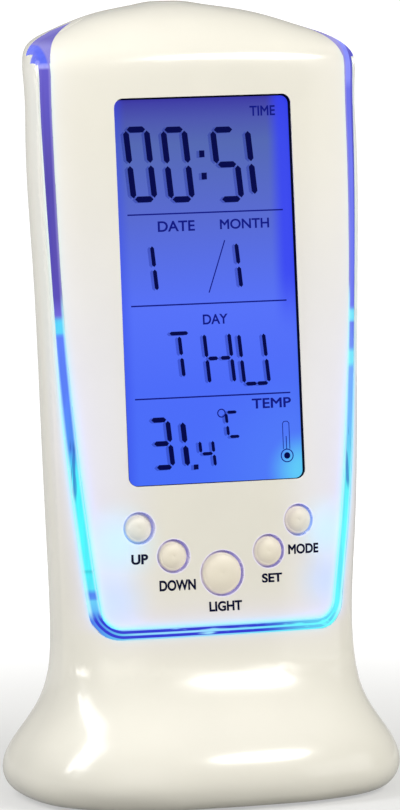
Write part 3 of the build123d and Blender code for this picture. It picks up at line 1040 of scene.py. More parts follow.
@dataclass(frozen=True)
class LitDisplay(Surface):
    """The display's film: blue light, greyer towards the top with a painted reflection and darkest at the
    very top with painted shade, deeper at the right, cyan in the lower corner.

    Attributes:
        width: width of the display opening.
        length: height of the display opening.
        tones: shares of the height and screen colours, from the foot up.
        right_edge: shares of the width between which the deeper blue at the right begins.
        right_rise: rises between which it begins.
        left_edge: shares of the width between which the one at the left begins.
        corner_lift: how far above the lower corner the cyan light has its middle.
        corner_reach: from where its wide and its narrow part reach full strength.
    """

    name: str = "lit_display"
    width: float = 35.4
    length: float = 72.9
    # The greyer stops from 0.7 up are a painted reflection, and the two darkest at the top are painted shade
    # under the opening's upper edge.
    tones: tuple[Stop, ...] = (
        (0.0, (68, 110, 255)), (0.25, (73, 108, 255)), (0.45, (84, 114, 255)), (0.7, (86, 106, 212)),
        (0.88, (82, 104, 182)), (0.94, (74, 86, 178)), (1.0, (54, 48, 164)),
    )
    right_edge: Pair = (0.36, 0.45)
    right_rise: Pair = (-10.0, 4.0)
    left_edge: Pair = (-0.42, -0.5)
    corner_lift: float = 1.5
    corner_reach: tuple[Pair, Pair] = ((24.0, 4.0), (8.0, 1.0))

    def inputs(self, nodes: Nodes, groups: Groups) -> dict[str, object]:
        """Inputs of the shader.

        Args:
            nodes: helper on the material's tree.
            groups: the shared node groups.

        Returns:
            Signals and constants by the input's name.
        """
        place = nodes.face(groups.places)
        half = self.length / 2
        stops = [((share - 0.5) * self.length, tone) for share, tone in self.tones]
        right, left = (place.across.span(*(share * self.width for share in edge))
                       for edge in (self.right_edge, self.left_edge))
        corner = nodes.reach_from(place, (self.width / 2, self.corner_lift - half))
        wide, narrow = (corner.span(*reach) for reach in self.corner_reach)
        body = nodes.coats(nodes.ramp(place.rise, -half, half, stops),
                           (right * place.rise.span(*self.right_rise) * 0.85, (46, 62, 250)),
                           (left * 0.5, (50, 74, 238)), (wide * 0.4, (86, 140, 255)),
                           (narrow * 0.9, (96, 214, 255)))
        return {"Base Color": (0.01, 0.01, 0.02), "Emission Color": body, "Emission Strength": 0.93,
                "Roughness": 0.12, "Specular IOR Level": 0.15}


class Streaks(NamedTuple):
    """Streaks in clear plastic: grains per metre, scale along each axis, values where they begin and end."""

    grain: float
    squeeze: Triple
    values: Pair


@dataclass(frozen=True)
class RingLight(Surface):
    """Clear plastic lit from inside: violet at the top, cyan beside the buttons, blue along the foot.

    Attributes:
        heights: rises at which the colour stops begin and end.
        left: rises and screen colours down the left side.
        right: the same down the right side.
        widths: places across at which the stops along the foot begin and end.
        foot: places across and screen colours along the foot.
        middle: places across between which left turns into right.
        violet: rises between which the violet upper part begins.
        inner_rim: distances outside the cover's edge between which the bright inner rim ends and is full.
        outer_rim: those between which the outer rim begins and is full.
        flank: distances outside the edge, places across and rises where the deeper flank at the right begins.
        peak: rises between which the deeper tone over the top begins.
        peak_edge: distances outside the edge, and how strong that tone is there.
        scratched: rises between which dark scratches run.
        scratch_fade: height over which they fade out.
        scratches: those scratches.
        flow: the faint flow marks of the moulding.
        breaks: the gaps in the dark lines of the foot.
        lines: distances outside the cover's edge between which those two lines run.
        line_soft: width of their soft edges.
        foot_start: rise at which the run along the foot begins at the left.
        foot_drop: how much lower it begins at the right.
        foot_fade: height over which it begins.
    """

    name: str = "lit_ring"
    heights: Pair = (-66.0, 54.0)
    left: tuple[Stop, ...] = (
        (-66.0, (52, 92, 228)), (-61.5, (58, 104, 232)), (-59.0, (96, 196, 248)),
        (-57.6, (104, 214, 250)), (-57.0, (74, 132, 240)), (-56.0, (74, 136, 240)),
        (-55.3, (82, 236, 248)), (-52.5, (66, 246, 250)), (-52.0, (46, 206, 216)),
        (-51.5, (70, 250, 252)), (-36.0, (64, 250, 252)), (-32.5, (70, 226, 248)),
        (-29.0, (66, 146, 238)), (-20.0, (82, 130, 250)), (-7.6, (88, 124, 248)),
        (-6.9, (84, 214, 250)), (-4.8, (84, 214, 250)), (-3.8, (112, 100, 216)),
        (-0.5, (84, 68, 176)), (20.0, (74, 60, 160)), (42.5, (98, 84, 196)), (42.8, (180, 180, 255)),
        (43.1, (180, 180, 255)), (43.5, (92, 112, 246)), (53.0, (92, 100, 240)),
    )
    right: tuple[Stop, ...] = (
        (-66.0, (86, 244, 250)), (-45.0, (92, 250, 252)), (-37.0, (86, 234, 242)),
        (-31.0, (90, 212, 242)), (-26.0, (98, 182, 248)), (-16.0, (104, 164, 248)),
        (-15.0, (112, 236, 255)), (-13.0, (112, 236, 255)), (-12.0, (100, 142, 244)),
        (-7.4, (98, 124, 240)), (-6.8, (112, 236, 255)), (-5.2, (112, 236, 255)),
        (-4.4, (98, 112, 236)), (37.0, (96, 104, 230)), (39.0, (132, 142, 250)),
        (46.0, (136, 144, 250)), (53.0, (104, 116, 238)),
    )
    widths: Pair = (-26.0, 26.0)
    foot: tuple[Stop, ...] = (
        (-26.0, (58, 96, 230)), (-20.0, (96, 196, 236)), (-17.0, (140, 214, 250)),
        (-4.0, (150, 220, 252)), (6.0, (120, 224, 250)), (14.0, (92, 240, 250)), (26.0, (92, 250, 252)),
    )
    middle: Pair = (-2.0, 2.0)
    violet: Pair = (-3.0, 1.0)
    inner_rim: Pair = (0.55, 0.05)
    outer_rim: Pair = (1.35, 1.85)
    flank: tuple[Pair, Pair, Pair] = ((1.35, 1.6), (2.0, 6.0), (-12.0, -2.0))
    peak: Pair = (46.5, 48.5)
    peak_edge: tuple[float, float, float, float] = (4.0, 1.0, 0.5, 1.0)
    scratched: Pair = (-37.0, -29.0)
    scratch_fade: float = 2.5
    scratches: Streaks = Streaks(1500.0, (1.0, 1.0, 0.05), (0.5, 0.58))
    flow: Streaks = Streaks(900.0, (1.0, 1.0, 0.08), (0.35, 0.65))
    breaks: Streaks = Streaks(900.0, (0.16, 1.0, 1.0), (0.3, 0.44))
    lines: tuple[Pair, Pair] = ((0.28, 0.68), (1.22, 1.62))
    line_soft: float = 0.16
    foot_start: float = -59.2
    foot_drop: float = 2.2
    foot_fade: float = 2.4

    def inputs(self, nodes: Nodes, groups: Groups) -> dict[str, object]:
        """Inputs of the shader.

        Args:
            nodes: helper on the material's tree.
            groups: the shared node groups.

        Returns:
            Signals and constants by the input's name.
        """
        share = CORNERS.on_ring(nodes.face(groups.places))
        return {"Emission Color": nodes.blend(share, (0.0, 0.0, 0.0), self.colour(nodes, groups)),
                "Emission Strength": 1.0, "Base Color": nodes.blend(share, IVORY_TONE, CLEAR),
                "Roughness": 0.12, "Specular IOR Level": 0.25, "Coat Weight": 0.08, "Coat Roughness": 0.05}

    def colour(self, nodes: Nodes, groups: Groups) -> Signal:
        """Colour of the light in the clear plastic, place by place.

        Args:
            nodes: helper on the material's tree.
            groups: the shared node groups.

        Returns:
            The colour.
        """
        edge, across, rise, _ = nodes.face(groups.places)
        rightward, upper = across.span(*self.middle), rise.span(*self.violet)
        sides = [nodes.ramp(rise, *self.heights, stops) for stops in (self.left, self.right)]
        scratches, flow, breaks = (nodes.noise(kind.grain, squeeze=kind.squeeze).span(*kind.values)
                                   for kind in (self.scratches, self.flow, self.breaks))
        outer_rim = edge.span(*self.outer_rim) * upper.span(0.0, 1.0, 1.0, 0.2)
        rim = edge.span(*self.inner_rim).at_least(outer_rim)
        rim_tone = nodes.blend(upper, srgb(190, 252, 255), srgb(150, 142, 212))
        outer = edge.span(*self.flank[0]) * across.span(*self.flank[1]) * rise.span(*self.flank[2])
        peak = rise.span(*self.peak) * edge.span(*self.peak_edge)
        upright = nodes.coats(nodes.blend(rightward, *sides),
                              (scratches * rise.window(*self.scratched, self.scratch_fade) * 0.75,
                               (34, 96, 190)), (flow * 0.16, (60, 70, 200)),
                              (rim * 0.8, rim_tone), (outer * 0.85, (72, 66, 186)),
                              (peak * 0.85, (74, 60, 176)))
        inner, outer = (edge.window(*line, self.line_soft) for line in self.lines)
        along_foot = nodes.coats(nodes.ramp(across, *self.widths, self.foot),
                                 (inner.at_least(outer) * breaks * across.span(6.0, 20.0, 1.0, 0.4),
                                  (34, 44, 206)),
                                 (edge.span(0.26, 0.05) * 0.6, (170, 200, 250)))
        below = rise + rightward * self.foot_drop - self.foot_start
        return nodes.blend(below.span(0.0, -self.foot_fade), upright, along_foot)


# The ivory finish and its front and rear copies carry the ring's painted light, the copies also in the lit
# corners of cover and housing; the buttons carry a little of it.
IVORY = MouldedPlastic("ivory_gloss", IVORY_TONE, 0.2, 0.35, glow=1.0)
SURFACES = (
    IVORY, replace(IVORY, name="ivory_gloss_front", lit=CORNERS.on_cover),
    replace(IVORY, name="ivory_gloss_rear", lit=CORNERS.on_housing),
    MouldedPlastic("button_gloss", srgb(242, 234, 215), 0.42, 0.0, 0.000002, 0.35),
    MouldedPlastic("ivory_satin", srgb(232, 230, 224), 0.45),
    MouldedPlastic("pad_rubber", (0.03, 0.03, 0.03), 0.7),
    MouldedPlastic("solder_mask", (0.02, 0.16, 0.06), 0.35),
    MouldedPlastic("black_resin", (0.015, 0.015, 0.015), 0.4),
    MouldedPlastic("grey_foam", (0.06, 0.06, 0.06), 0.9, bump=0.0002),
    MouldedPlastic("cell_sleeve", (0.03, 0.05, 0.12), 0.3),
    MouldedPlastic("light_guide", (0.3, 0.4, 0.9), 0.1),
    MouldedPlastic("lamp_resin", (0.5, 0.8, 1.0), 0.15),
    BareMetal("zinc_plate", (0.62, 0.62, 0.6)), RingLight(), LitDisplay(),
    InkAndShade("segment_ink", srgb(0, 3, 64), 0.5), InkAndShade("segment_thin_ink", srgb(10, 18, 112), 0.6),
    InkAndShade("segment_shadow", srgb(34, 46, 140), 0.6, 0.27), InkAndShade("window_shade", srgb(10, 12, 34)),
    InkAndShade("caption_ink", srgb(18, 20, 52)),
)
SLOT_FINISHES = {
    Finish.SHELL: "ivory_gloss", Finish.BUTTON: "button_gloss", Finish.MATTE: "ivory_satin",
    Finish.RING: "lit_ring", Finish.GLASS: "light_guide", Finish.FILM: "lit_display",
    Finish.GUIDE: "light_guide", Finish.LAMP: "lamp_resin", Finish.RUBBER: "pad_rubber",
    Finish.BOARD: "solder_mask", Finish.RESIN: "black_resin", Finish.SWITCH: "zinc_plate",
    Finish.STEEL: "zinc_plate", Finish.FOAM: "grey_foam", Finish.CELL: "cell_sleeve",
}


class Palette:
    """All finishes of the clock, each built once."""

    def __init__(self) -> None:
        """Build the shared groups and every material."""
        groups = Groups()
        self.named = {surface.name: surface.material(groups) for surface in SURFACES}

    def of_slot(self, slot: str) -> bpy.types.Material:
        """The material of a record slot."""
        return self.named[SLOT_FINISHES[Finish(slot)]]

    def dress_frame(self) -> None:
        """Give every CAD node the finish of its record slot."""
        for entry in frame["record"]["subparts"]:
            dress(frame["nodes"][entry["node"]], self.of_slot(entry["material_slot"]))


@dataclass
class Shells:
    """The smooth shells: housing, front cover, clear ring, battery door, foot plate and buttons.

    Attributes:
        taken: name of the smooth piece of each CAD node.
        skinned: the pieces that take over the undivided skin's normals.
        upper_screws: distance to each side and height of the two upper case screws.
        hole_reach: how far from a screw's axis its hole reaches.
        rim_reach: how far from it the rims of the opened skin lie.
        screw_zone: how far below their axes the upper screws reach.
        screw_tip: how far forward their tips may reach.
        post_end: the rear end of the posts that take them.
    """

    taken: dict[str, str] = field(default_factory=lambda: {
        "main_housing": "housing_shell", "front_cover": "front_shell", "light_ring": "ring_band",
        "battery_door": "door_panel", "base_plate": "foot_plate", "rubber_feet": "foot_pads",
        "up_button": "up_cap", "down_button": "down_cap", "light_button": "light_cap",
        "set_button": "set_cap", "mode_button": "mode_cap", "case_screws": "case_screw_heads",
        "base_screws": "foot_screw_heads",
    })
    skinned: tuple[str, ...] = ("housing_shell", "front_shell", "ring_band", "door_panel")
    upper_screws: Pair = (16.0 * MM, 141.64 * MM)
    hole_reach: float = 0.918 * MM
    rim_reach: float = 6.3 * MM
    screw_zone: float = 3.0 * MM
    screw_tip: float = -1.6 * MM
    post_end: float = 4.0 * MM

    def build(self, palette: Palette) -> None:
        """Take each solid over as a smooth piece.

        Args:
            palette: the clock's finishes.
        """
        slots = {entry["node"]: entry["material_slot"] for entry in frame["record"]["subparts"]}
        bodies = frame["record"]["behaviour"]["bodies"]
        owner = {node: body for body, nodes in bodies.items() for node in nodes}
        made = {}
        for node, name in self.taken.items():
            made[name] = piece = smoothed_copy(node, name)
            dress(piece, palette.of_slot(slots[node]))
            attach(piece, owner[node])
            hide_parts(node)
            LOG.info("took over %s as %s", node, name)
        # Cover and housing take the ivory copies that paint the ring's light into their upper corners.
        dress(made["front_shell"], palette.named["ivory_gloss_front"])
        dress(made["housing_shell"], palette.named["ivory_gloss_rear"])
        self.close_screw_holes(made["front_shell"])
        self.shorten_screws(made["case_screw_heads"])
        Envelope().polish(made[name] for name in self.skinned)

    def mark_by_screws(self, cover: bpy.types.Object, reach: float) -> set[int]:
        """Select the cover's points round the two upper screws.

        Args:
            cover: the front cover's piece.
            reach: how far from a screw's axis a point may lie.

        Returns:
            The points' numbers.
        """
        with editing(cover, "DESELECT"):
            bpy.ops.mesh.select_mode(type="VERT")
        across, height = self.upper_screws
        for vertex in cover.data.vertices:
            off = Vector((abs(vertex.co.x) - across, vertex.co.z - height)).length
            vertex.select = off < reach and vertex.co.y < self.post_end
        return {vertex.index for vertex in cover.data.vertices if vertex.select}

    def close_screw_holes(self, cover: bpy.types.Object) -> None:
        """Take the two upper screw holes out of the cover's brow, where they come through its skin.

        Args:
            cover: the front cover's piece.
        """
        self.mark_by_screws(cover, self.hole_reach)
        with editing(cover, None):
            bpy.ops.mesh.delete(type="VERT")
        near = self.mark_by_screws(cover, self.rim_reach)
        with editing(cover, "DESELECT"):
            bpy.ops.mesh.select_non_manifold(extend=False, use_wire=False, use_multi_face=False,
                                             use_non_contiguous=False, use_verts=False)
        rims = {vertex.index for vertex in cover.data.vertices if vertex.select} & near
        for edge in cover.data.edges:
            edge.select = edge.select and all(index in rims for index in edge.vertices)
        for vertex in cover.data.vertices:
            vertex.select = vertex.index in rims
        with editing(cover, None):
            bpy.ops.mesh.fill_holes(sides=0)
            bpy.ops.mesh.quads_convert_to_tris()
        LOG.info("closed the screw holes in %s round %d rim points", cover.name, len(rims))

    def shorten_screws(self, screws: bpy.types.Object) -> None:
        """Keep the tips of the upper screws behind the cover's brow.

        Args:
            screws: the case screws' piece.
        """
        for vertex in screws.data.vertices:
            if vertex.co.z > self.upper_screws[1] - self.screw_zone:
                vertex.co.y = max(vertex.co.y, self.screw_tip)


class Digit(NamedTuple):
    """One figure of straight segments: the lit ones, its middle, width, height and segment thickness."""

    lit: str
    middle: Pair
    width: float
    height: float
    weight: float


class Bar(NamedTuple):
    """One plain rectangle, such as a rule or a dot."""

    middle: Pair
    width: float
    height: float
    turn: float = 0.0


CLOCK_DIGIT = (5.3, 14.3, 1.15)
DATE_DIGIT = (4.2, 10.3, 0.78)
DAY_LETTER = (5.7, 10.3, 0.72)


@dataclass
class Figures:
    """The display's lit figures: seven-segment digits, letters, rules and the thermometer sign.

    Attributes:
        depth: how far behind the face they lie.
        thickness: twice their thickness.
        lean: angle by which the figures lean.
        split: gap at each end of a segment.
        shadow_shift: sideways shift of the figures' shadow.
        digits: the figures.
        dots: the colon and the decimal point.
        rules: the rules, the stroke in the date and the straight lines of the thermometer.
        degree: middle of the degree sign.
        degree_ring: its radius and line.
        bulb: middle of the thermometer's bulb.
        bulb_ring: its radius and line.
        bulb_dot: radius of the dot in it.
        round_corners: how many corners a round dot has, and a ring.
        shadow_gap: gap between the figures and their shadow.
        strokes: what is drawn and not yet joined.
    """

    depth: float = 1.54
    thickness: float = 0.02
    lean: float = radians(4.8)
    split: float = 0.22
    shadow_shift: Pair = (-0.55, -0.1)
    digits: tuple[Digit, ...] = (
        Digit("abcdef", (-12.6, 24.0), *CLOCK_DIGIT), Digit("abcdef", (-5.1, 23.75), *CLOCK_DIGIT),
        Digit("afgcd", (4.8, 23.45), *CLOCK_DIGIT), Digit("tu", (9.65, 23.66), 5.3, 14.7, 1.15),
        Digit("tu", (-10.6, 4.42), *DATE_DIGIT), Digit("tu", (6.3, 4.35), *DATE_DIGIT),
        Digit("atu", (-5.9, -12.4), 4.9, 9.5, 0.72), Digit("efhibc", (1.65, -13.0), *DAY_LETTER),
        Digit("fejkcb", (8.6, -13.3), *DAY_LETTER), Digit("abgcd", (-10.6, -28.6), 4.4, 9.9, 0.95),
        Digit("tu", (-5.9, -28.9), 4.4, 10.8, 1.05), Digit("fgbc", (-1.5, -30.9), 3.2, 5.8, 0.62),
        Digit("afed", (3.9, -25.6), 3.0, 5.2, 0.58),
    )
    dots: tuple[Bar, ...] = (Bar((-0.2, 25.6), 1.05, 1.3), Bar((0.1, 21.4), 1.05, 1.3),
                             Bar((-3.9, -33.3), 0.95, 0.95))
    rules: tuple[Bar, ...] = (
        Bar((0.05, 14.55), 31.2, 0.27), Bar((0.05, -2.6), 31.2, 0.27), Bar((0.05, -20.1), 31.2, 0.27),
        Bar((1.9, 4.3), 0.22, 10.4, radians(-20)), Bar((14.45, -29.6), 0.16, 2.6),
        Bar((13.8, -28.3), 0.14, 4.9), Bar((15.1, -28.3), 0.14, 4.9),
        Bar((13.98, -25.68), 0.14, 0.5, radians(-40)), Bar((14.92, -25.68), 0.14, 0.5, radians(40)),
        Bar((14.45, -25.52), 0.7, 0.14),
    )
    degree: Pair = (1.6, -23.4)
    degree_ring: Pair = (0.85, 0.22)
    bulb: Pair = (14.5, -32.0)
    bulb_ring: Pair = (1.3, 0.2)
    bulb_dot: float = 0.62
    round_corners: tuple[int, int] = (24, 32)
    shadow_gap: float = 0.001
    strokes: list[bpy.types.Object] = field(default_factory=list)

    def stroke(self, start: Pair, end: Pair, weight: float, middle: Pair) -> None:
        """One segment: a flat bar with pointed ends, leaned about its figure's middle.

        Args:
            start: where the segment starts.
            end: where it ends.
            weight: its thickness.
            middle: the figure's middle, about which it leans.
        """
        bpy.ops.mesh.primitive_circle_add(vertices=6, radius=1.0, fill_type="NGON")
        piece = bpy.context.object
        way = Vector((end[0] - start[0], end[1] - start[1]))
        length = way.length
        way.normalize()
        side = Vector((-way.y, way.x))
        tip = weight / 2
        outline = ((0, 0), (tip, tip), (length - tip, tip), (length, 0), (length - tip, -tip), (tip, -tip))
        for vertex, (run, off) in zip(piece.data.vertices, outline):
            spot = Vector(start) + way * run + side * off
            vertex.co = (spot.x - (spot.y - middle[1]) * tan(self.lean), spot.y, 0)
        self.strokes.append(piece)

    def digit(self, digit: Digit) -> None:
        """One figure: segments a to g as usual, h to k halves of the bars, t and u a centre upright.

        Args:
            digit: the figure.
        """
        lit, (x, y), width, height, weight = digit
        gap = self.split
        left, right = x - (width - weight) / 2, x + (width - weight) / 2
        top, foot = y + (height - weight) / 2, y - (height - weight) / 2
        bars = {
            "a": ((left + gap, top), (right - gap, top)), "d": ((left + gap, foot), (right - gap, foot)),
            "g": ((left + gap, y), (right - gap, y)), "h": ((left + gap, y), (x - gap, y)),
            "i": ((x + gap, y), (right - gap, y)), "j": ((left + gap, foot), (x, foot)),
            "k": ((x, foot), (right - gap, foot)), "f": ((left, y + gap), (left, top - gap)),
            "e": ((left, foot + gap), (left, y - gap)), "b": ((right, y + gap), (right, top - gap)),
            "c": ((right, foot + gap), (right, y - gap)),
            "t": ((x, y + gap), (x, top - weight / 2 - gap)),
            "u": ((x, foot + weight / 2 + gap), (x, y - gap)),
        }
        for letter in lit:
            self.stroke(*bars[letter], weight, digit.middle)

    def bar(self, bar: Bar) -> None:
        """One plain rectangle.

        Args:
            bar: the rectangle.
        """
        bpy.ops.mesh.primitive_plane_add(size=1.0, location=(*bar.middle, 0), rotation=(0, 0, bar.turn))
        bpy.context.object.scale = (bar.width, bar.height, 1)
        self.strokes.append(settle(bpy.context.object))

    def disc(self, middle: Pair, radius: float, line: float = 0.0) -> None:
        """One filled round dot, or a thin round ring.

        Args:
            middle: its middle.
            radius: outer radius.
            line: thickness of the ring's line, or 0 for a filled dot.
        """
        corners = self.round_corners[1 if line else 0]
        bpy.ops.mesh.primitive_circle_add(vertices=corners, radius=radius, fill_type="NGON",
                                          location=(*middle, 0))
        piece = bpy.context.object
        if line:
            with editing(piece):
                bpy.ops.mesh.inset(thickness=line)
                bpy.ops.mesh.delete(type="FACE")
        self.strokes.append(settle(piece))

    def copies(self) -> list[bpy.types.Object]:
        """Copies of the strokes drawn so far.

        Returns:
            The copies.
        """
        copies = []
        for stroke in self.strokes:
            pick(stroke)
            bpy.ops.object.duplicate()
            copies.append(bpy.context.object)
        return copies

    def finish(self, strokes: list[bpy.types.Object], name: str, material: bpy.types.Material,
               depth: float, shift: Pair = (0.0, 0.0)) -> None:
        """Join strokes and lay them on the display.

        Args:
            strokes: the strokes.
            name: name of the piece.
            material: its ink.
            depth: depth behind the face.
            shift: sideways shift of the whole drawing.
        """
        piece = join(strokes, name)
        piece.data.transform(Matrix.Translation((*shift, 0)))
        with editing(piece):
            thicken(-self.thickness / 2)
        fix_to_clock(lay_on_face(piece, depth), material)

    def build(self, palette: Palette) -> None:
        """Draw every figure of the display.

        Args:
            palette: the clock's finishes.
        """
        ink, thin_ink = palette.named["segment_ink"], palette.named["segment_thin_ink"]
        for digit in self.digits:
            self.digit(digit)
        for dot in self.dots:
            self.bar(dot)
        behind = self.depth + self.thickness / 2 + self.shadow_gap
        self.finish(self.copies(), "display_figure_shadows", palette.named["segment_shadow"], behind,
                    self.shadow_shift)
        self.finish(self.strokes, "display_figures", ink, self.depth)
        self.strokes = []
        for rule in self.rules:
            self.bar(rule)
        self.disc(self.degree, *self.degree_ring)
        self.disc(self.bulb, *self.bulb_ring)
        self.finish(self.strokes, "display_rules", thin_ink, self.depth)
        self.strokes = []
        self.disc(self.bulb, self.bulb_dot)
        self.finish(self.strokes, "display_bulb", ink, self.depth - self.thickness)


@dataclass(frozen=True)
class WindowShade:
    """Painted shade in the display's opening: a thin dark sheet on its walls, and a dark border round the
    display that is wider at the top and the right, where the shade falls.

    Attributes:
        width: width of the opening.
        length: height of the opening.
        corner: radius of its corners.
        corner_steps: how many edges round a corner.
        play: gap between the dark sheet and the wall.
        thinned: how much thinner the border is at the left and at the foot.
        border: the border's width, and the depths of its front and back.
        wall: the same of the standing dark sheet.
    """

    width: float = 35.4
    length: float = 72.9
    corner: float = 1.8
    corner_steps: int = 8
    play: float = 0.01
    thinned: Pair = (0.24, 0.18)
    border: Triple = (0.3, 1.5, 1.53)
    wall: Triple = (0.04, 0.75, 1.5)

    def thin_out(self, piece: bpy.types.Object, weight: float) -> None:
        """Make the border thinner along the left and the foot of the opening, and a little at the right.

        Args:
            piece: the border.
            weight: its full width.
        """
        straight = (self.width / 2 - self.corner, self.length / 2 - self.corner)
        for vertex in piece.data.vertices:
            out = [max(abs(vertex.co[axis]) - straight[axis], 0.0) for axis in (0, 1)]
            if Vector(out).length - self.corner > -weight / 2:
                continue
            vertex.co.x += self.thinned[0] / 3 if vertex.co.x > 0 else -self.thinned[0]
            if vertex.co.y < 0:
                vertex.co.y -= self.thinned[1]

    def band(self, weight: float, front: float, back: float) -> bpy.types.Object:
        """One flat or standing band along the opening's wall.

        Args:
            weight: its width inwards from the wall.
            front: depth of its front.
            back: depth of its back.

        Returns:
            The band.
        """
        deselect()
        bpy.ops.mesh.primitive_plane_add(size=1.0)
        piece = bpy.context.object
        piece.scale = (self.width - 2 * self.play, self.length - 2 * self.play, 1)
        with editing(settle(piece)):
            bpy.ops.mesh.bevel(offset=self.corner, segments=self.corner_steps, affect="VERTICES")
            bpy.ops.mesh.select_mode(type="FACE")
            bpy.ops.mesh.select_all(action="SELECT")
            bpy.ops.mesh.inset(thickness=weight)
            bpy.ops.mesh.delete(type="FACE")
            thicken(back - front)
        if weight > self.thinned[0]:
            self.thin_out(piece, weight)
        return lay_on_face(piece, back)

    def build(self, palette: Palette) -> None:
        """Lay the painted-shade border and wall sheet into the opening."""
        piece = join([self.band(*self.border), self.band(*self.wall)], "window_shade")
        fix_to_clock(piece, palette.named["window_shade"])


class Lettering(Enum):
    """Kinds of captions, numbered as in the pairs of their sizes."""

    IN_DISPLAY = 0
    ON_COVER = 1


class Caption(NamedTuple):
    """One line of plain capitals on the face: its letters, middle, height and width."""

    words: str
    middle: Pair
    height: float
    width: float


@dataclass
class Captions:
    """Captions in the display and printed under the buttons.

    Attributes:
        in_display: the display's captions.
        by_buttons: the printed captions.
        depths: how far behind the face the captions of each kind are set.
        thickness: their thickness.
        extrude: how far the plain letters are extruded, before their back is set.
        bold: how far their strokes are thickened, as a share of the letter size.
        lift: how far the front and the back of the print lie off the cover.
        front_play: how far behind the foremost point the print's front reaches.
    """

    in_display: tuple[Caption, ...] = (
        Caption("TIME", (12.3, 33.4), 1.9, 5.1), Caption("DATE", (-5.9, 12.2), 2.0, 7.4),
        Caption("MONTH", (7.8, 12.2), 1.9, 9.9), Caption("DAY", (1.15, -5.6), 1.9, 5.0),
        Caption("TEMP", (11.75, -21.9), 1.9, 7.9),
    )
    by_buttons: tuple[Caption, ...] = (
        Caption("UP", (-16.1, -50.1), 1.9, 3.2), Caption("DOWN", (-8.95, -55.3), 2.05, 7.1),
        Caption("LIGHT", (0.4, -59.7), 1.9, 6.6), Caption("SET", (10.05, -54.9), 1.75, 4.2),
        Caption("MODE", (16.85, -49.75), 1.9, 6.5),
    )
    depths: Pair = (1.54, -1.0)
    thickness: Pair = (0.01, 0.02)
    extrude: float = 0.01
    bold: Pair = (0.02, 0.036)
    lift: Pair = (0.03 * MM, 0.01 * MM)
    front_play: float = 0.01 * MM

    def letter(self, caption: Caption, kind: Lettering) -> bpy.types.Object:
        """Set one caption as a flat mesh on the face.

        Args:
            caption: the caption.
            kind: what kind of caption it is.

        Returns:
            The mesh.
        """
        deselect()
        bpy.ops.object.text_add()
        text = bpy.context.object.data
        text.body = caption.words
        text.align_x = text.align_y = "CENTER"
        text.bevel_depth = self.bold[kind.value]
        text.bevel_resolution = 0
        text.extrude = self.extrude
        bpy.ops.object.convert(target="MESH")
        piece = bpy.context.object
        bpy.context.view_layer.update()
        spans = [[vertex.co[axis] for vertex in piece.data.vertices] for axis in (0, 1)]
        sizes = [max(span) - min(span) for span in spans]
        centre = [(max(span) + min(span)) / 2 for span in spans]
        for vertex in piece.data.vertices:
            run = (vertex.co.x - centre[0]) / sizes[0] * caption.width + caption.middle[0]
            rise = (vertex.co.y - centre[1]) / sizes[1] * caption.height + caption.middle[1]
            vertex.co = (run, rise, -self.thickness[kind.value] if vertex.co.z < 0 else 0)
        return lay_on_face(piece, self.depths[kind.value])

    def build(self, palette: Palette) -> None:
        """Set all captions, and lower the printed ones onto the cover.

        Args:
            palette: the clock's finishes.
        """
        lines = [self.letter(caption, Lettering.IN_DISPLAY) for caption in self.in_display]
        words = join(lines, "display_captions")
        fix_to_clock(words, palette.named["segment_thin_ink"])
        lines = [self.letter(caption, Lettering.ON_COVER) for caption in self.by_buttons]
        words = join(lines, "button_captions")
        self.lay_on_cover(words)
        fix_to_clock(words, palette.named["caption_ink"])

    def lay_on_cover(self, words: bpy.types.Object) -> None:
        """Lower the printed captions onto the curved cover.

        Args:
            words: the captions' mesh, lying in front of the cover.
        """
        cover = bpy.data.objects["front_shell"]
        inward = FACE.inward()
        front = min((vertex.co @ inward for vertex in words.data.vertices))
        for vertex in words.data.vertices:
            hit, spot, _, _ = cover.ray_cast(vertex.co, inward)
            lift = self.lift[0 if vertex.co @ inward - front < self.front_play else 1]
            if hit:
                vertex.co = spot - inward * lift


class SoftBox(NamedTuple):
    """One soft box: its name, place, size and power in watts, the point it faces, its shape and tone."""

    name: str
    place: Triple
    size: Pair
    power: float
    aim: Triple = (0.0, 0.0, 0.075)
    shape: str = "RECTANGLE"
    tone: Triple = (1.0, 1.0, 1.0)


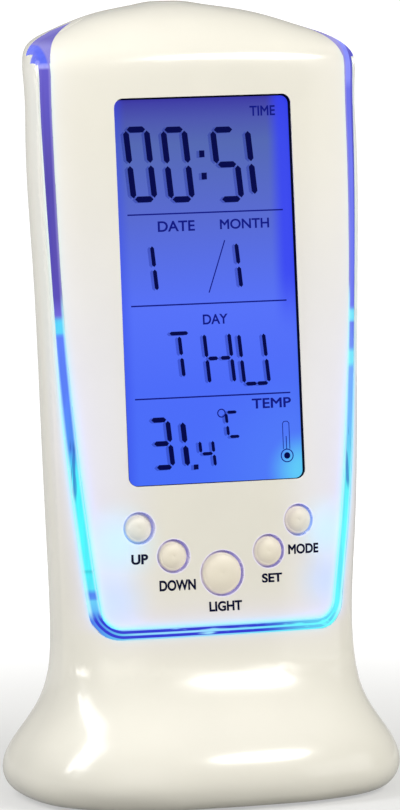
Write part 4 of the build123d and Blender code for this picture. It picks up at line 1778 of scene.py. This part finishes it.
@dataclass
class Studio:
    """Camera at the photograph's place, plain pale floor and soft lights.

    Attributes:
        camera_place: where the camera stands.
        yaw: how far it looks to the right.
        pitch: how far it looks down.
        roll: how far it is turned about its own axis.
        lens: its focal length.
        sensor: width of its sensor.
        clip: distances between which it sees.
        floor_size: width of the floor.
        floor_tone: colour of the floor.
        floor_in_gloss: how bright the floor shows in reflections.
        floor_fade: distances and brightnesses between which the floor turns white for the camera.
        world_tone: colour of the light from all round.
        world_strength: its strength.
        boxes: the soft boxes.
    """

    camera_place: Triple = (-0.4213, -1.1590, 0.2000)
    yaw: float = radians(20.0)
    pitch: float = radians(5.84)
    roll: float = radians(-0.63)
    lens: float = 290.2
    sensor: float = 36.0
    clip: Pair = (0.05, 50.0)
    floor_size: float = 12.0
    floor_tone: Triple = (0.38, 0.38, 0.37)
    floor_in_gloss: float = 0.42
    floor_fade: tuple[float, float, float, float] = (0.05, 0.3, 0.45, 1.0)
    world_tone: Triple = (1.0, 0.99, 0.97)
    world_strength: float = 0.36
    boxes: tuple[SoftBox, ...] = (
        SoftBox("key_box", (0.233, -0.398, 0.385), (0.21, 0.13), 1.46, shape="ELLIPSE",
                tone=(1.0, 0.98, 0.93)),
        SoftBox("top_left_box", (-0.27, -0.06, 0.29), (0.12, 0.26), 0.55, (0.0, 0.0, 0.1)),
        SoftBox("flank_box", (-0.34, -0.02, 0.26), (0.04, 0.26), 0.26, (0.0, 0.0, 0.12)),
        SoftBox("front_box", (-0.5, -1.3, 0.55), (0.9, 0.9), 1.15),
        SoftBox("right_box", (1.1, -0.75, 0.15), (1.1, 0.9), 3.6, (0.0, 0.0, 0.09)),
        SoftBox("left_strip", (-1.0, -0.25, 0.6), (0.06, 0.8), 0.5),
    )

    def camera(self) -> None:
        """Set the camera at the photograph's place."""
        deselect()
        bpy.ops.object.camera_add(location=self.camera_place)
        camera = name_piece("studio_camera")
        look = Euler((pi / 2 - self.pitch, 0, -self.yaw)).to_matrix() @ Matrix.Rotation(self.roll, 3, "Z")
        camera.rotation_euler = look.to_euler()
        camera.data.lens = self.lens
        camera.data.sensor_width = self.sensor
        camera.data.clip_start, camera.data.clip_end = self.clip
        bpy.context.scene.camera = camera

    def light(self, box: SoftBox) -> None:
        """Set up one soft box.

        Args:
            box: the soft box.
        """
        deselect()
        bpy.ops.object.light_add(type="AREA", location=box.place)
        lamp = name_piece(box.name)
        lamp.data.shape = box.shape
        lamp.data.color = box.tone
        lamp.data.size, lamp.data.size_y = box.size
        lamp.data.energy = box.power
        lamp.rotation_euler = (Vector(box.aim) - Vector(box.place)).to_track_quat("-Z", "Y").to_euler()

    def floor(self) -> None:
        """Lay the pale floor, which shows as white and keeps the clock's shadow."""
        deselect()
        bpy.ops.mesh.primitive_plane_add(size=self.floor_size)
        ground = name_piece("studio_floor")
        made = bpy.data.materials.new("studio_white")
        made.use_nodes = True
        nodes = Nodes(made.node_tree)
        path = nodes.add("LightPath")
        seen = nodes.get(path, "Is Glossy Ray") * self.floor_in_gloss + nodes.get(path, "Is Camera Ray")
        reach = nodes.get(nodes.add("VectorMath", {0: nodes.here()}, operation="LENGTH"), "Value")
        plain = nodes.add("BsdfDiffuse", {"Color": self.floor_tone})
        bright = nodes.add("Emission", {"Strength": reach.span(*self.floor_fade) * seen})
        both = nodes.add("AddShader", {0: nodes.get(plain), 1: nodes.get(bright)})
        nodes.add("OutputMaterial", {0: nodes.get(both)})
        dress(ground, made)

    def world(self) -> None:
        """Light the scene evenly from all round, with a white surround for the camera."""
        world = bpy.data.worlds.new("studio_world")
        bpy.context.scene.world = world
        world.use_nodes = True
        nodes = Nodes(world.node_tree)
        seen = nodes.get(nodes.add("LightPath"), "Is Camera Ray")
        strength = seen.span(0.0, 1.0, self.world_strength, 1.0, smooth=False)
        plain = nodes.add("Background", {"Color": self.world_tone, "Strength": strength})
        nodes.add("OutputWorld", {0: nodes.get(plain)})

    def build(self) -> None:
        """Set up the whole studio."""
        bpy.context.scene.view_settings.view_transform = "Standard"
        self.camera()
        self.floor()
        self.world()
        for box in self.boxes:
            self.light(box)
        LOG.info("studio is set")


def main() -> None:
    """Dress the clock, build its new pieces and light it."""
    logging.basicConfig(level=logging.INFO, format="%(name)s: %(message)s")
    palette = Palette()
    palette.dress_frame()
    for assembly in (Shells(), Figures(), WindowShade(), Captions()):
        assembly.build(palette)
    Studio().build()


if __name__ == "__main__":
    main()
